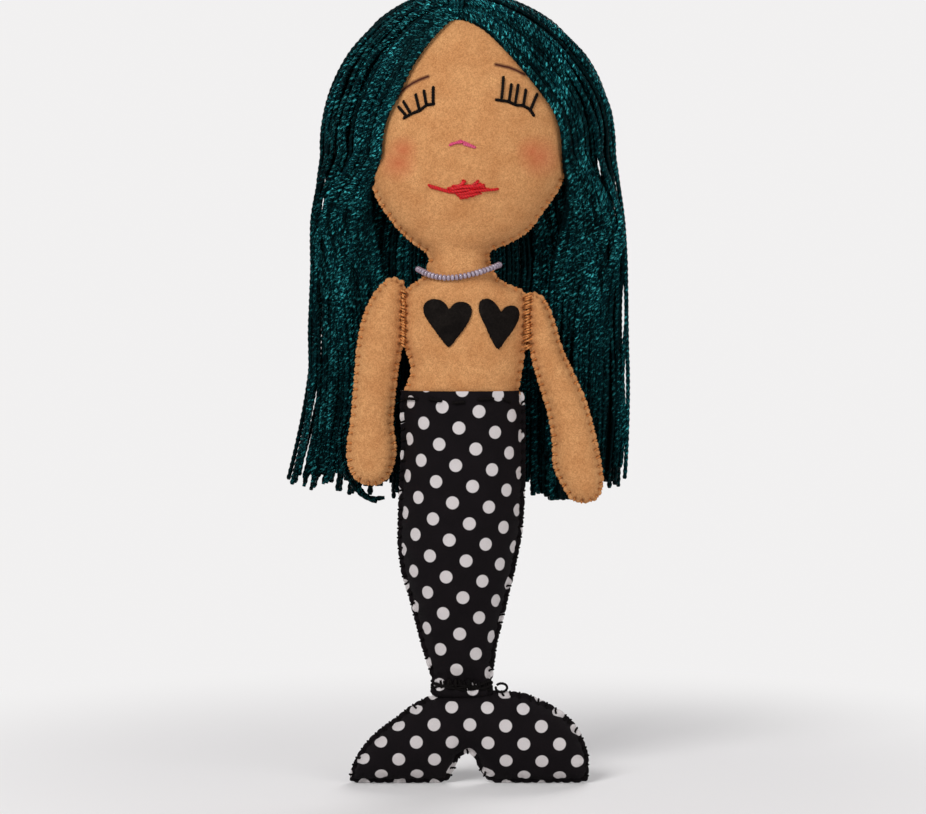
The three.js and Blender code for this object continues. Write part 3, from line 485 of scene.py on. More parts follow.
def skin(name, ring, shade, material, cloth_map=None, close=(True, True)):
    """Rings of points become one closed mesh, its faces pointing out."""
    rows, around = ring.shape[:2]
    faces = tube_faces(np.arange(rows * around).reshape(rows, around), close)
    # the piece carries its painted seam shade for the material
    piece = new_piece(name, ring.reshape(-1, 3), faces, material, {"PaintedSeamShade": shade.reshape(-1)})
    mesh = piece.data
    if cloth_map is not None:
        layer = mesh.uv_layers.new(name="Cloth")
        spots = []
        for r in range(rows - 1):
            for k in range(around):
                for row, column in ((r, k), (r, k + 1), (r + 1, k + 1), (r + 1, k)):
                    spots.append(cloth_map(row, column, k < around // 2))
        spots += [(0.0, 0.0)] * (len(mesh.loops) - len(spots))
        layer.data.foreach_set("uv", np.array(spots, np.float32).reshape(-1))
    bpy.ops.object.select_all(action="DESELECT")
    piece.select_set(True)
    bpy.context.view_layer.objects.active = piece
    bpy.ops.object.mode_set(mode="EDIT")
    bpy.ops.mesh.select_all(action="SELECT")
    bpy.ops.mesh.remove_doubles(threshold=1e-6)
    bpy.ops.mesh.normals_make_consistent(inside=False)
    bpy.ops.object.mode_set(mode="OBJECT")
    bpy.ops.object.shade_smooth()
    print(name, len(mesh.vertices), "points")
    return piece


print("mesh helpers ready")

# %% [markdown]
# Stitches, patches and beads sit on the finished surface. A ray from straight in front or from
# straight behind finds it again, whatever shape it got.

# %% Finding the surface
def surface_of(piece):
    """The piece's surface as a tree that rays can be cast at."""
    corners = [v.co for v in piece.data.vertices]
    return BVHTree.FromPolygons(corners, [tuple(p.vertices) for p in piece.data.polygons])


def lands_on(tree, x, z, back=False, lift=0.0):
    """The point in mm where the surface is met at (x, z), from the front or from the back."""
    way = -1 if back else 1
    hit = tree.ray_cast(Vector((x, -way * 80, z)) * MM, Vector((0, way, 0)))
    if hit[0] is None:
        return None
    point = hit[0] + hit[1] * (lift * MM) * (1 if hit[1].y * way < 0 else -1)
    return np.array(point) / MM


print("surface helpers ready")

# %% [markdown]
# The head, neck and torso are one felt front and one felt back. The jaw is wide and low, the
# neck is short, and the shoulders slope. The crown is a half ellipse, hidden under the hair.

# %% Body outline and skin
HEAD_HALF, HEAD_DEPTH, HEAD_MIDDLE, CROWN = 40.4, 19.0, 252.25, 311.6
BODY_FOOT = 149.6
BODY_RIGHT = smooth_line([
    (BODY_FOOT, 20.6), (156, 20.8), (158.8, 20.6), (163, 21.2), (169.2, 22.2), (175, 22.8),
    (179.2, 23.0), (186, 23.2), (192, 23.3), (196.4, 23.2), (198.4, 21.2), (200.0, 16.8),
    (201.6, 13.6), (203.4, 11.6), (206, 10.2), (209, 9.0), (212, 8.7), (214.2, 9.6), (215.0, 12.4),
    (216.8, 16.8), (221.2, 24.0), (228.4, 29.6), (237.2, 35.8), (244, 38.8), (249, 40.1),
    (HEAD_MIDDLE, HEAD_HALF),
])
BODY_LEFT = smooth_line([
    (BODY_FOOT, -24.8), (156, -25.4), (158.6, -25.2), (161.2, -24.2), (165, -23.0), (169.4, -23.4),
    (174, -25.0), (179, -25.6), (186, -25.7), (192, -25.6), (197.4, -25.2), (199.4, -23.6),
    (201.2, -20.8), (203.2, -18.2), (206, -16.6), (209, -15.9), (211.4, -15.8), (213.2, -17.4),
    (216.8, -22.4), (220.6, -26.6), (224, -29.6), (229, -33.2), (233.6, -36.2), (240, -38.6),
    (246, -39.9), (HEAD_MIDDLE, -HEAD_HALF),
])
rise = np.linspace(0, math.pi / 2, 60)[1:]
crown_z = HEAD_MIDDLE + (CROWN - HEAD_MIDDLE) * np.sin(rise)
crown_x = HEAD_HALF * np.cos(rise)
body_high = np.vstack([BODY_RIGHT, np.stack([crown_z, crown_x], axis=-1)])
body_low = np.vstack([BODY_LEFT, np.stack([crown_z, -crown_x], axis=-1)])
body_depth = [
    (BODY_FOOT, 11.6), (157.9, 12.0), (159.7, 12.3), (165, 12.6), (173, 12.8), (186, 12.2),
    (198.2, 10.4), (203.5, 9.4), (207.3, 8.9), (211, 8.9), (214, 9.4), (217, 11.0), (222, 13.3),
    (229.6, 15.7), (237.2, 17.4), (244.7, 18.5), (HEAD_MIDDLE, HEAD_DEPTH),
] + [(HEAD_MIDDLE + (CROWN - HEAD_MIDDLE) * math.sin(a), HEAD_DEPTH * math.cos(a)) for a in rise]
crown_stations = 292 + 19.6 * np.sin(np.linspace(0, math.pi / 2, 22))
body_stations = np.concatenate([np.arange(BODY_FOOT, 292, 0.75), crown_stations])
FELT_SEAM = dict(
    rim=1.3, flange=1.3, bite=1.45, pitch=3.6, pinch=0.95, pull=0.85, reach=1.4, seed=4
)
body_ring, body_painted_shade, body_outline, body_marks = stuffed(
    body_low, body_high, body_depth, body_stations, FELT_SEAM, across=60
)
body = skin("felt_body", body_ring, body_painted_shade, tan_felt.material, close=(True, False))
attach(body, "torso")
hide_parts("body_front_felt", "body_back_felt", "body_stuffing")
body_tree = surface_of(body)
print("seam round the body:", round(body_outline.length), "mm,", len(body_marks), "stitches")

# %% [markdown]
# Each arm is a long felt sausage with a rounded hand, narrower at the shoulder, where its inner
# edge lies against the torso's side. The doll's left arm, at the right of the picture, bows
# out.

# %% Arms
def arm_piece(name, outer, inner, towards, seed, body_name, nodes_named):
    """outer and inner are (z, x) points from the hand up; both ends are closed by rounding."""
    outer, inner = smooth_line(outer), smooth_line(inner)
    high, low = (outer, inner) if towards > 0 else (inner, outer)
    foot, top = max(high[0, 0], low[0, 0]), min(high[-1, 0], low[-1, 0])
    swing = (1 - np.cos(np.linspace(0, math.pi, 130))) / 2
    stations = foot + (top - foot) * (0.35 * swing + 0.65 * np.linspace(0, 1, 130))
    depth = [
        (foot, 1.2), (foot + 0.8, 2.6), (foot + 2.5, 4.2), (foot + 6, 5.6), (foot + 12, 6.2),
        (foot + 30, 6.0), (foot + 60, 6.25), (top - 10, 6.0), (top - 5, 5.0), (top - 1.5, 2.9),
        (top, 1.2),
    ]
    seam = dict(FELT_SEAM, seed=seed, pitch=3.5)
    ring, shade, outline, marks = stuffed(low, high, depth, stations, seam, across=40)
    arm = skin(name, ring, shade, tan_felt.material)
    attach(arm, body_name)
    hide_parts(*nodes_named)
    return arm, outline, marks


# (height, across) points in mm from the hand up
RIGHT_ARM_OUTER = [
    (119.9, -39.6), (120.5, -42.2), (122.2, -45.0), (126.4, -47.6), (134.5, -48.6), (146, -47.0),
    (159.6, -45.8), (175.6, -44.4), (186, -42.4), (194, -39.2), (199, -35.8), (201.6, -33.2),
    (203.2, -30.8),
]
RIGHT_ARM_INNER = [
    (119.9, -38.6), (120.2, -36.2), (121.6, -33.2), (125.4, -30.4), (134.4, -28.6), (145, -29.8),
    (159.6, -28.6), (170, -27.2), (177, -25.9), (186.4, -25.5), (195, -25.3), (199.6, -25.0),
    (201.8, -26.2), (203.2, -29.4),
]
LEFT_ARM_OUTER = [
    (112.8, 47.2), (113.4, 50.0), (115.2, 52.4), (119.3, 54.0), (125.6, 53.9), (136.4, 51.9),
    (144.4, 50.0), (154, 47.2), (164, 42.8), (174.8, 37.8), (183.6, 35.2), (190, 33.0),
    (194, 30.9), (196.2, 28.8), (197.2, 26.6),
]
LEFT_ARM_INNER = [
    (112.8, 46.0), (113.2, 43.6), (114.8, 40.6), (121.2, 36.8), (126.4, 34.4), (130, 33.8),
    (138, 33.6), (148, 31.9), (156.8, 29.4), (165.8, 26.6), (173.8, 24.8), (182.8, 24.0),
    (190, 23.9), (194, 24.0), (196.4, 24.6), (197.2, 25.8),
]
right_arm, right_outline, right_marks = arm_piece(
    "right_arm_stuffed", RIGHT_ARM_OUTER, RIGHT_ARM_INNER, -1, 11, "right_arm",
    ("right_arm_front_felt", "right_arm_back_felt", "right_arm_stuffing"),
)
left_arm, left_outline, left_marks = arm_piece(
    "left_arm_stuffed", LEFT_ARM_OUTER, LEFT_ARM_INNER, 1, 23, "left_arm",
    ("left_arm_front_felt", "left_arm_back_felt", "left_arm_stuffing"),
)
right_arm_tree, left_arm_tree = surface_of(right_arm), surface_of(left_arm)
print("arms made")

# %% [markdown]
# The tail and the fluke are black cotton printed with white dots on a square grid that lies at
# a slant. The cloth was flat when it was printed, so the pattern is drawn on the cloth's own
# map: one direction is the length along the piece and the other the length across its curved
# surface. A shader group finds how far each point is from its nearest grid corner.

# %% Polka dot group
dots = Effect("polka_dots", {
    "Cloth": "Vector", "Origin": "Vector", "First Row": "Vector", "Second Row": "Vector",
    "First Step": "Vector", "Second Step": "Vector", "Radius": "Float", "Edge": "Float",
}, {"Dot": "Float"})
moved = dots.vector("SUBTRACT", dots.taken["Cloth"], dots.taken["Origin"])
steps_back = []
for which in ("First ", "Second "):
    count = dots.vector("DOT_PRODUCT", moved, dots.taken[which + "Row"])
    rest = dots.math("SUBTRACT", count, dots.math("ROUND", count))
    steps_back.append(dots.vector("SCALE", dots.taken[which + "Step"], Scale=rest))
far = dots.vector("LENGTH", dots.vector("ADD", *steps_back))
past_edge = dots.math("SUBTRACT", dots.taken["Radius"], far)
soft_edge = dots.math("DIVIDE", past_edge, dots.taken["Edge"])
dots.give(Dot=dots.clamp(dots.math("ADD", soft_edge, 0.5)))

# %% [markdown]
# The cotton is a plain weave, fine enough to read as a soft grain. Crossed waves of one thread
# spacing give the grain, and broad noise gives the slight creases of handled cloth.

# %% Dotted cotton material
DOT_RADIUS, DOT_EDGE = 2.55, 0.22


def dotted_cotton(name, origin, first, second):
    """origin: the middle of one dot. first and second: the steps in mm to its neighbours."""
    finish = Finish(name, roughness=0.85, specular=0.1)
    place = finish.add("UVMap", uv_map="Cloth").outputs[0]
    pattern = finish.add(
        "Group", node_tree=dots.group, Cloth=place, Radius=DOT_RADIUS, Edge=DOT_EDGE
    )
    turned = np.linalg.inv(np.array([first, second]).T)
    for socket, pair in (
        ("Origin", origin), ("First Step", first), ("Second Step", second),
        ("First Row", turned[0]), ("Second Row", turned[1]),
    ):
        pattern.inputs[socket].default_value = (pair[0], pair[1], 0)
    waves = dict(Vector=place, Scale=0.9, Distortion=0.6, Detail_Scale=0.4)
    warp, weft = (finish.add("TexWave", bands_direction=way, **waves) for way in "XY")
    grain = finish.math("MULTIPLY", warp.outputs["Fac"], weft.outputs["Fac"])
    wear = finish.noise(place, 0.12, 5)
    black = finish.blend(wear, tone(9, 6, 8), tone(25, 19, 22))
    white = finish.blend(wear, tone(240, 234, 231), tone(226, 218, 215))
    printed = finish.blend(pattern.outputs["Dot"], black, white)
    woven = finish.blend(grain, tone(200, 200, 205), tone(255, 255, 255))
    finish.set(Base_Color=finish.blend(0.8, printed, woven, blend_type="MULTIPLY"))
    finish.bump(finish.math("MULTIPLY_ADD", grain, 0.12, wear), 0.0011, 0.6)
    return finish.material


tail_cotton = dotted_cotton("tail_cotton", (-3.6, 143.4), (6.68, -8.28), (-7.96, -6.48))
fluke_cotton = dotted_cotton("fluke_cotton", (0.72, 24.5), (7.24, -7.2), (-7.04, -6.96))


def cloth_lengths(ring, wide, sideways=False):
    """The cloth's own map: for each corner of the front or back cloth, mm along and across. The
    back is cut from another place of the same cloth, so its dots don't meet those of the front."""
    front = ring[:, :wide]
    along, start = (front[..., 0], front[..., 2]) if sideways else (front[..., 2], front[..., 0])
    steps = np.linalg.norm(np.diff(front, axis=1), axis=2)
    arc = np.concatenate([np.zeros((len(ring), 1)), np.cumsum(steps, axis=1)], axis=1)
    centre = wide // 2
    across = arc - arc[:, centre : centre + 1] + start[:, centre : centre + 1]
    pair = np.stack([along, across] if sideways else [across, along], axis=-1)

    def place(row, column, is_front):
        if is_front:
            return tuple(pair[row, column])
        spot = pair[row, max(2 * (wide - 1) - column, 0)]
        return (4.1 - spot[0], spot[1] + 3.3)

    return place


print("cotton ready")

# %% [markdown]
# The tail tapers from a full top to the ankle, leaning a little to the left. Its black stitches
# draw the thin cotton into short creases all along both sides, deeper than felt would show. The
# top edge is an open folded hem: the torso comes out of it.

# %% Tail
TAIL_BOTTOM, HEM = 40.2, 157.6
TAIL_RIGHT = smooth_line([
    (36, 9.0), (40.2, 9.4), (42, 9.7), (48, 10.6), (55.6, 11.6), (63.2, 13.4), (70.8, 15.3),
    (77.6, 16.8), (85.2, 18.7), (93.6, 20.4), (102.8, 21.9), (115.6, 22.7), (128, 23.0),
    (145, 23.0), (152.5, 22.8), (157.6, 22.2), (170, 21.6),
])
TAIL_LEFT = smooth_line([
    (36, -14.0), (40.2, -14.3), (46.4, -15.9), (54, -18.3), (65, -21.2), (75.2, -23.8),
    (84.4, -26.6), (94.4, -28.0), (102, -28.2), (118.8, -27.6), (136.4, -26.8), (149, -27.2),
    (157.6, -27.0), (170, -26.6),
])
TAIL_DEPTH = [
    (40.2, 2.4), (42, 4.0), (47.2, 7.2), (55.5, 8.9), (64.3, 10.6), (76.6, 12.7), (86, 13.9),
    (96.6, 14.8), (110.6, 15.1), (136.5, 14.8), (149.3, 13.9), (157.6, 13.4), (170, 13.2),
]
COTTON_SEAM = dict(
    rim=0.85, flange=1.7, bite=1.6, pitch=3.9, pinch=0.9, pull=0.55, reach=3.0, seed=7
)
TAIL_ACROSS = 64
tail_stations = np.concatenate([np.arange(TAIL_BOTTOM, HEM, 0.8), [HEM]])
tail_ring, tail_painted_shade, tail_outline, tail_marks = stuffed(
    TAIL_LEFT, TAIL_RIGHT, TAIL_DEPTH, tail_stations, COTTON_SEAM, across=TAIL_ACROSS
)
GATHER_TOP = 50
gather = np.clip((GATHER_TOP - tail_ring[:, :, 2]) / 10, 0, 1) ** 1.5
folds = np.sin(tail_ring[:, :, 0] * 1.9 + 0.7 * np.sin(tail_ring[:, :, 0] * 0.8))
away = np.sign(tail_ring[:, :, 1] - SEAM_Y)
tail_ring[:, :, 1] += away * gather * folds * 0.55
# the folded lip of the hem: four more rings, each a little up or down and further in, mm
LIP_ROWS = ((0.25, 0.25), (0.1, 0.7), (-1.2, 0.95), (-5.0, 0.95))
out = tail_ring[-1] - np.array([tail_ring[-1, :, 0].mean(), SEAM_Y, HEM])
out /= np.maximum(np.hypot(out[:, 0], out[:, 1]), 1e-6)[:, None]
lip = []
for drop, tuck in LIP_ROWS:
    edge = tail_ring[-1] - out * tuck
    edge[:, 2] = HEM + drop
    lip.append(edge)
tail_ring = np.concatenate([tail_ring, lip])
tail_painted_shade = np.concatenate([tail_painted_shade, np.repeat(tail_painted_shade[-1:], len(lip), axis=0)])
cloth_map = cloth_lengths(tail_ring, TAIL_ACROSS + 1)
tail = skin("cotton_tail", tail_ring, tail_painted_shade, tail_cotton, cloth_map)
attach(tail, "torso")
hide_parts("tail_front_cotton", "tail_back_cotton", "tail_stuffing")
tail_tree = surface_of(tail)

# %% [markdown]
# The fluke is a separate stuffed pair of lobes, sewn on at the ankle. Its shape runs sideways:
# for each place across there is one top edge and one bottom edge, and the notch between the
# lobes cuts up from below. It stands on its lower edge.

# %% Fluke
FLUKE_TOP = smooth_line([
    (-47.4, 1.2), (-47.3, 3.0), (-46.4, 7.2), (-43.8, 12.4), (-39.8, 17.6), (-34.4, 22.6),
    (-28.8, 26.6), (-23.2, 31.0), (-16.6, 34.6), (-11, 36.6), (-4, 37.6), (4, 37.6), (11.2, 37.2),
    (16.8, 37.0), (23.2, 36.0), (28.4, 34.0), (33.2, 31.6), (39.8, 27.2), (44.0, 22.2),
    (46.8, 16.4), (48.4, 11.0), (48.7, 6.0), (48.4, 2.4),
])
FLUKE_BOTTOM = smooth_line([
    (-47.4, 1.0), (-46.8, 0.5), (-44, 0.2), (-34, 0), (-20, 0), (-11, 0.3), (-8.2, 1.2),
    (-6.6, 3.2), (-5.0, 7.0), (-3.8, 9.6), (-2.0, 11.4), (-0.2, 11.9), (1.4, 11.4), (3.0, 9.2),
    (4.6, 5.6), (6.8, 2.4), (9.6, 0.6), (14, 0), (30, 0), (44, 0.2), (47.4, 0.8), (48.4, 2.0),
])
FLUKE_DEPTH = [
    (-47.4, 0.9), (-46.6, 2.6), (-44, 4.4), (-38, 6.6), (-28, 8.2), (-16, 8.3), (-6, 7.0), (0, 6.4),
    (6, 7.0), (16, 8.3), (28, 8.2), (39, 6.8), (45, 4.8), (47.8, 2.8), (48.6, 0.9),
]
fluke_swing = (1 - np.cos(np.linspace(0, math.pi, 150))) / 2
FLUKE_END, FLUKE_SPAN = -47.4, 95.8
fluke_stations = FLUKE_END + FLUKE_SPAN * (0.25 * fluke_swing + 0.75 * np.linspace(0, 1, 150))
FLUKE_ACROSS = 52
fluke_ring, fluke_painted_shade, fluke_outline, fluke_marks = stuffed(
    FLUKE_BOTTOM, FLUKE_TOP, FLUKE_DEPTH, fluke_stations,
    dict(COTTON_SEAM, seed=31, pitch=4.0), across=FLUKE_ACROSS, sideways=True,
)
fluke_ring[:, :, 2] = np.maximum(fluke_ring[:, :, 2], 0.05)
fluke_map = cloth_lengths(fluke_ring, FLUKE_ACROSS + 1, sideways=True)
fluke = skin("cotton_fluke", fluke_ring, fluke_painted_shade, fluke_cotton, fluke_map)
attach(fluke, "fluke")
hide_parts("fluke_front_cotton", "fluke_back_cotton", "fluke_stuffing")
fluke_tree = surface_of(fluke)
print("tail and fluke made")

# %% [markdown]
# Thread is two or more plies twisted round each other. A plain round tube would look like wire,
# so each thread is a tube whose section has two or three low lobes, and the lobes turn as they
# go along. The same maker draws whipstitches, embroidery and, later, every strand of the hair.

# %% Twisted thread
def even_line(points, step):
    """The same line with its points step mm apart."""
    points = np.asarray(points, float)
    lengths = np.concatenate([[0], np.cumsum(np.linalg.norm(np.diff(points, axis=0), axis=1))])
    count = max(3, int(round(lengths[-1] / step)) + 1)
    at = np.linspace(0, lengths[-1], count)
    return np.stack([np.interp(at, lengths, points[:, k]) for k in range(3)], axis=-1)


THREAD_SIDES, PLIES = 6, 2


def thread_rings(line, radius, ridge_pitch, depth, start_turn):
    """Rings of points round a line, lobed and turning. radius may change along the line."""
    ahead = np.gradient(line, axis=0)
    ahead /= np.maximum(np.linalg.norm(ahead, axis=1, keepdims=True), 1e-9)
    side = np.cross(ahead[0], [0.0, 0.0, 1.0])
    if np.linalg.norm(side) < 0.2:
        side = np.cross(ahead[0], [0.0, 1.0, 0.0])
    side /= np.linalg.norm(side)
    sides_along = []
    for direction in ahead:
        side = side - direction * (side @ direction)
        side /= max(np.linalg.norm(side), 1e-9)
        sides_along.append(side)
    first = np.array(sides_along)
    second = np.cross(ahead, first)
    walked = np.concatenate([[0], np.cumsum(np.linalg.norm(np.diff(line, axis=0), axis=1))])
    angle = np.linspace(0, 2 * math.pi, THREAD_SIDES, endpoint=False)
    turn = start_turn + 2 * math.pi * walked / (ridge_pitch * PLIES)
    lobes = 1 - depth + depth * np.cos(PLIES * (angle[None, :] - turn[:, None]))
    size = np.asarray(radius) * np.ones(len(line))
    reach = lobes * size[:, None]
    ring = (
        line[:, None]
        + first[:, None] * (np.cos(angle)[None, :] * reach)[..., None]
        + second[:, None] * (np.sin(angle)[None, :] * reach)[..., None]
    )
    return ring, walked, lobes


print("a thread has", PLIES, "plies and", THREAD_SIDES, "sides")

# %% [markdown]
# Sewing turns many lines into one piece of thread. Each thread carries its length, its own shade
# and the place of its plies, and its material reads all three. For the hair, that shade also holds
# painted light and shade.

# %% Sewing
def sew(name, lines, radius, material, body_name=None, ridge_pitch=0.9, depth=0.14, step=0.35,
        shades=None):
    """Many twisted threads as one piece. shades: one number per line, kept for the material."""
    points, faces, lengths, tints, grooves = [], [], [], [], []
    rng = random.Random(len(lines))
    for number, line in enumerate(lines):
        path = even_line(line, step)
        size = radius(number, np.linspace(0, 1, len(path))) if callable(radius) else radius
        ring, walked, lobes = thread_rings(path, size, ridge_pitch, depth, rng.uniform(0, 6))
        start = sum(len(p) for p in points)
        faces += tube_faces(start + np.arange(lobes.size).reshape(lobes.shape))
        points.append(ring.reshape(-1, 3))
        lengths.append(np.repeat(walked, THREAD_SIDES))
        tint = rng.random() if shades is None else shades[number]
        tints.append(np.full(lobes.size, tint))
        grooves.append(((lobes - (1 - 2 * depth)) / (2 * depth)).reshape(-1))
    lengths, tints, grooves = (np.concatenate(values) for values in (lengths, tints, grooves))
    measures = {"Along": lengths, "Tint": tints, "Ridge": grooves}
    piece = new_piece(name, np.concatenate(points), faces, material, measures)
    if body_name:
        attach(piece, body_name)
    # the frame has materials of these names too, so Blender puts a number after a point
    print(name, len(lines), "threads,", sum(len(f) - 2 for f in faces), "triangles")
    return piece


print("sewing helper ready")

# %% [markdown]
# Thread catches light along its plies. The material paints shade into the groove between plies,
# which the mesh marks as Ridge, shifts a little from strand to strand by Tint, and adds fine
# fibres. For the hair, Tint also carries painted light and shade.

# %% Thread material
def thread_finish(name, deep, main, bright, roughness, specular, fibre=900):
    """The material under construction, and its colour socket."""
    finish = Finish(name, roughness=roughness, specular=specular)
    # a tint per strand; for the hair it also carries painted light and shade
    tint_and_painted_light = finish.blend(finish.measure("Tint"), tone(*main), tone(*bright))
    # painted shade: the groove between plies is darkened towards the deep colour
    groove_shaded = finish.blend(finish.measure("Ridge"), tone(*deep), tint_and_painted_light)
    fine = finish.noise(finish.place(), fibre, 3)
    fibred = finish.span(fine, 0.3, 0.65, 0.35, 1.0)
    colour = finish.blend(0.45, groove_shaded, fibred, blend_type="MULTIPLY")
    finish.set(Base_Color=colour)
    finish.bump(fine, 0.0001, 0.5)
    return finish, colour


# each thread: name, painted groove shade colour, main and bright tints, roughness, specular
tan_thread, black_thread, red_thread, pink_thread = (
    thread_finish(*looks)[0].material
    for looks in (
        ("tan_thread", (176, 104, 50), (230, 152, 84), (246, 176, 108), 0.7, 0.2),
        ("black_thread", (2, 1, 1), (9, 6, 6), (20, 15, 14), 0.75, 0.08),
        ("red_thread", (150, 0, 8), (228, 4, 22), (244, 34, 40), 0.5, 0.3),
        ("pink_thread", (176, 40, 84), (232, 80, 128), (246, 122, 160), 0.5, 0.3),
    )
)
# radii in mm, as the picture shows them
TAN_WHIP, SHOULDER_THREAD, BLACK_WHIP, ANKLE_THREAD, HEM_THREAD = 0.42, 0.5, 0.5, 0.6, 0.72
LASH_THREAD, NOSE_THREAD, LIP_THREAD, PARTING_YARN = 0.74, 0.58, 0.66, 0.9
print("threads:", [m.name for m in (tan_thread, black_thread, red_thread, pink_thread)])

# %% [markdown]
# A whipstitch goes over the edge: out of a hole a little inside the front, round the rim and
# into the back. The thread lies slightly slanted. Each stitch takes its two holes from the real
# surface.

# %% Whipstitches
CORE_DEPTH, RAY_START = 2.2, 14  # rays come in towards a line this deep inside the edge, mm
THREAD_LIFT, THREAD_SINK = 0.22, 0.45
LONGEST_LEAP = 1.6  # a longer leap between two hits means that the rays met something else


def whipstitch(outline, s, bite, tree, lean):
    """The line of one stitch over the edge, from the front hole to the back hole. Rays come in from
    all round the edge, so the thread follows the rim however it is shaped."""
    edge, inward = outline.at(s)
    along = np.array([inward[1], -inward[0]])
    line = []
    for side in (-1, 1):
        walked, last, half_line = 0.0, None, []
        for turn in np.radians(np.arange(0, 86, 6)):
            x, z = edge + inward * CORE_DEPTH + along * lean * side * walked / bite
            core = np.array([x, SEAM_Y, z])
            level = -inward * math.cos(turn)
            out = np.array([level[0], side * math.sin(turn), level[1]])
            hit = tree.ray_cast(Vector(core + out * RAY_START) * MM, Vector(-out))
            if hit[0] is None:
                return None
            spot = np.array(hit[0]) / MM
            walked += 0 if last is None else np.linalg.norm(spot - last)
            last = spot
            if walked >= bite:
                half_line.append(spot - out * THREAD_SINK)
                break
            half_line.append(spot + out * THREAD_LIFT)
        line = half_line[::-1] + line if side < 0 else line + half_line[1:]
    if np.linalg.norm(np.diff(line, axis=0), axis=1).max() > LONGEST_LEAP:
        return None
    return smooth_line(line, steps=3)


def whip_round(outline, marks, tree, bite, keep, seed, lean):
    rng = random.Random(seed)
    lines = []
    for s in marks:
        if keep(*outline.at(s)[0]):
            own_bite = bite * rng.uniform(0.85, 1.15)
            line = whipstitch(outline, s, own_bite, tree, lean * rng.uniform(0.5, 1.3))
            if line is not None:
                lines.append(line)
    return lines


# where the stitches show: not under the hair, the arms, the hem or the ankle seam
def on_body(x, z):
    beside_arm = 174.5 < z < 199.0 and abs(x + 1.2) > 20
    return 158.5 < z < 268 and not beside_arm


def on_right_arm(x, z):
    return z < 174 or x < -33


def on_left_arm(x, z):
    return z < 174 or x > 29


def on_tail(x, z):
    return 43 < z < 156


def on_fluke(x, z):
    return z > 2.5 and not (-16 < x < 11 and z > 30)


TAN, BLACK = (0.55, TAN_WHIP, tan_thread), (0.9, BLACK_WHIP, black_thread)
for part, body_name, outline, marks, tree, bite, keep, seed, (lean, radius, thread) in (
    ("body", "torso", body_outline, body_marks, body_tree, 2.6, on_body, 41, TAN),
    ("right_arm", "right_arm", right_outline, right_marks, right_arm_tree, 2.5, on_right_arm, 42,
     TAN),
    ("left_arm", "left_arm", left_outline, left_marks, left_arm_tree, 2.5, on_left_arm, 43, TAN),
    ("tail", "torso", tail_outline, tail_marks, tail_tree, 2.7, on_tail, 44, BLACK),
    ("fluke", "fluke", fluke_outline, fluke_marks, fluke_tree, 2.7, on_fluke, 45, BLACK),
):
    lines = whip_round(outline, marks, tree, bite, keep, seed, lean)
    sew(f"{part}_whipstitches", lines, radius, thread, body_name)

# %% [markdown]
# The arms are whipped on along the torso's sides. Each of these stitches starts in the torso felt,
# crosses the narrow gap and ends in the arm felt, on the front and again on the back.

# %% Shoulder seams
SEAM_FOOT, SEAM_ROWS, ROW_RISE = 174.6, 22, 1.08


def shoulder_stitches(name, torso_x, arm_x, arm_tree, seed, node):
    rng = random.Random(seed)
    out = math.copysign(1, arm_x)
    lines = []
    for k in range(SEAM_ROWS):
        z = SEAM_FOOT + k * ROW_RISE + rng.uniform(-0.2, 0.2)
        for back in (False, True):
            inner = torso_x - out * rng.uniform(0.9, 1.4)
            outer = arm_x + out * rng.uniform(1.2, 1.8)
            slant = rng.uniform(0.8, 1.8)
            spots = [
                lands_on(body_tree, inner, z - slant / 2, back, -0.35),
                lands_on(body_tree, inner + out * 0.5, z - slant / 3, back, 0.3),
                lands_on(arm_tree, outer - out * 0.5, z + slant / 3, back, 0.3),
                lands_on(arm_tree, outer, z + slant / 2, back, -0.35),
            ]
            if all(s is not None for s in spots):
                spots.insert(2, (spots[1] + spots[2]) / 2 + [0, 1.5 if back else -1.5, 0])
                lines.append(smooth_line(spots, steps=4))
    piece = sew(name, lines, SHOULDER_THREAD, tan_thread, shades=[1.0] * len(lines))
    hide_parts(node)
    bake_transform(piece)


shoulder_stitches("right_shoulder_stitches", -25.6, -25.6, right_arm_tree, 51,
                  "right_shoulder_seam_thread")
shoulder_stitches("left_shoulder_stitches", 23.2, 24.0, left_arm_tree, 52,
                  "left_shoulder_seam_thread")
print("shoulders sewn")

# %% [markdown]
# The face is read off the picture: a ray goes from the camera through a pixel to the felt, so
# each stitch lies on the head where the picture shows it.

# %% Place things by what the camera sees
def seen_on(tree, px, py, lift=0.0):
    """The point in mm where the camera's ray through a pixel meets the surface."""
    pixel = VIEW_WIDTH * MM / PICTURE_WIDTH / DISTANCE
    across, up = (px - PICTURE_WIDTH / 2) * pixel, (PICTURE_HEIGHT / 2 - py) * pixel
    way = camera.rotation_euler.to_matrix() @ Vector((across, up, -1)).normalized()
    hit = tree.ray_cast(camera.location, way)
    if hit[0] is None:
        return None
    return np.array(hit[0] + hit[1] * (lift * MM) * (-1 if hit[1].dot(way) > 0 else 1)) / MM


def stitch_on_face(points, lift):
    """A thread along picture points on the head, its two ends going down into the felt."""
    dense = smooth_line(points, steps=6)
    lifts = [-0.5] + [lift] * (len(dense) - 2) + [-0.5]
    return np.array([seen_on(body_tree, *spot, high) for spot, high in zip(dense, lifts)])


print("face helpers ready")

# %% [markdown]
# Each eye is closed: a lid line of short black stitches, and five lashes. They are couched thread,
# so each is a fat twisted line that dives into the felt at both ends.

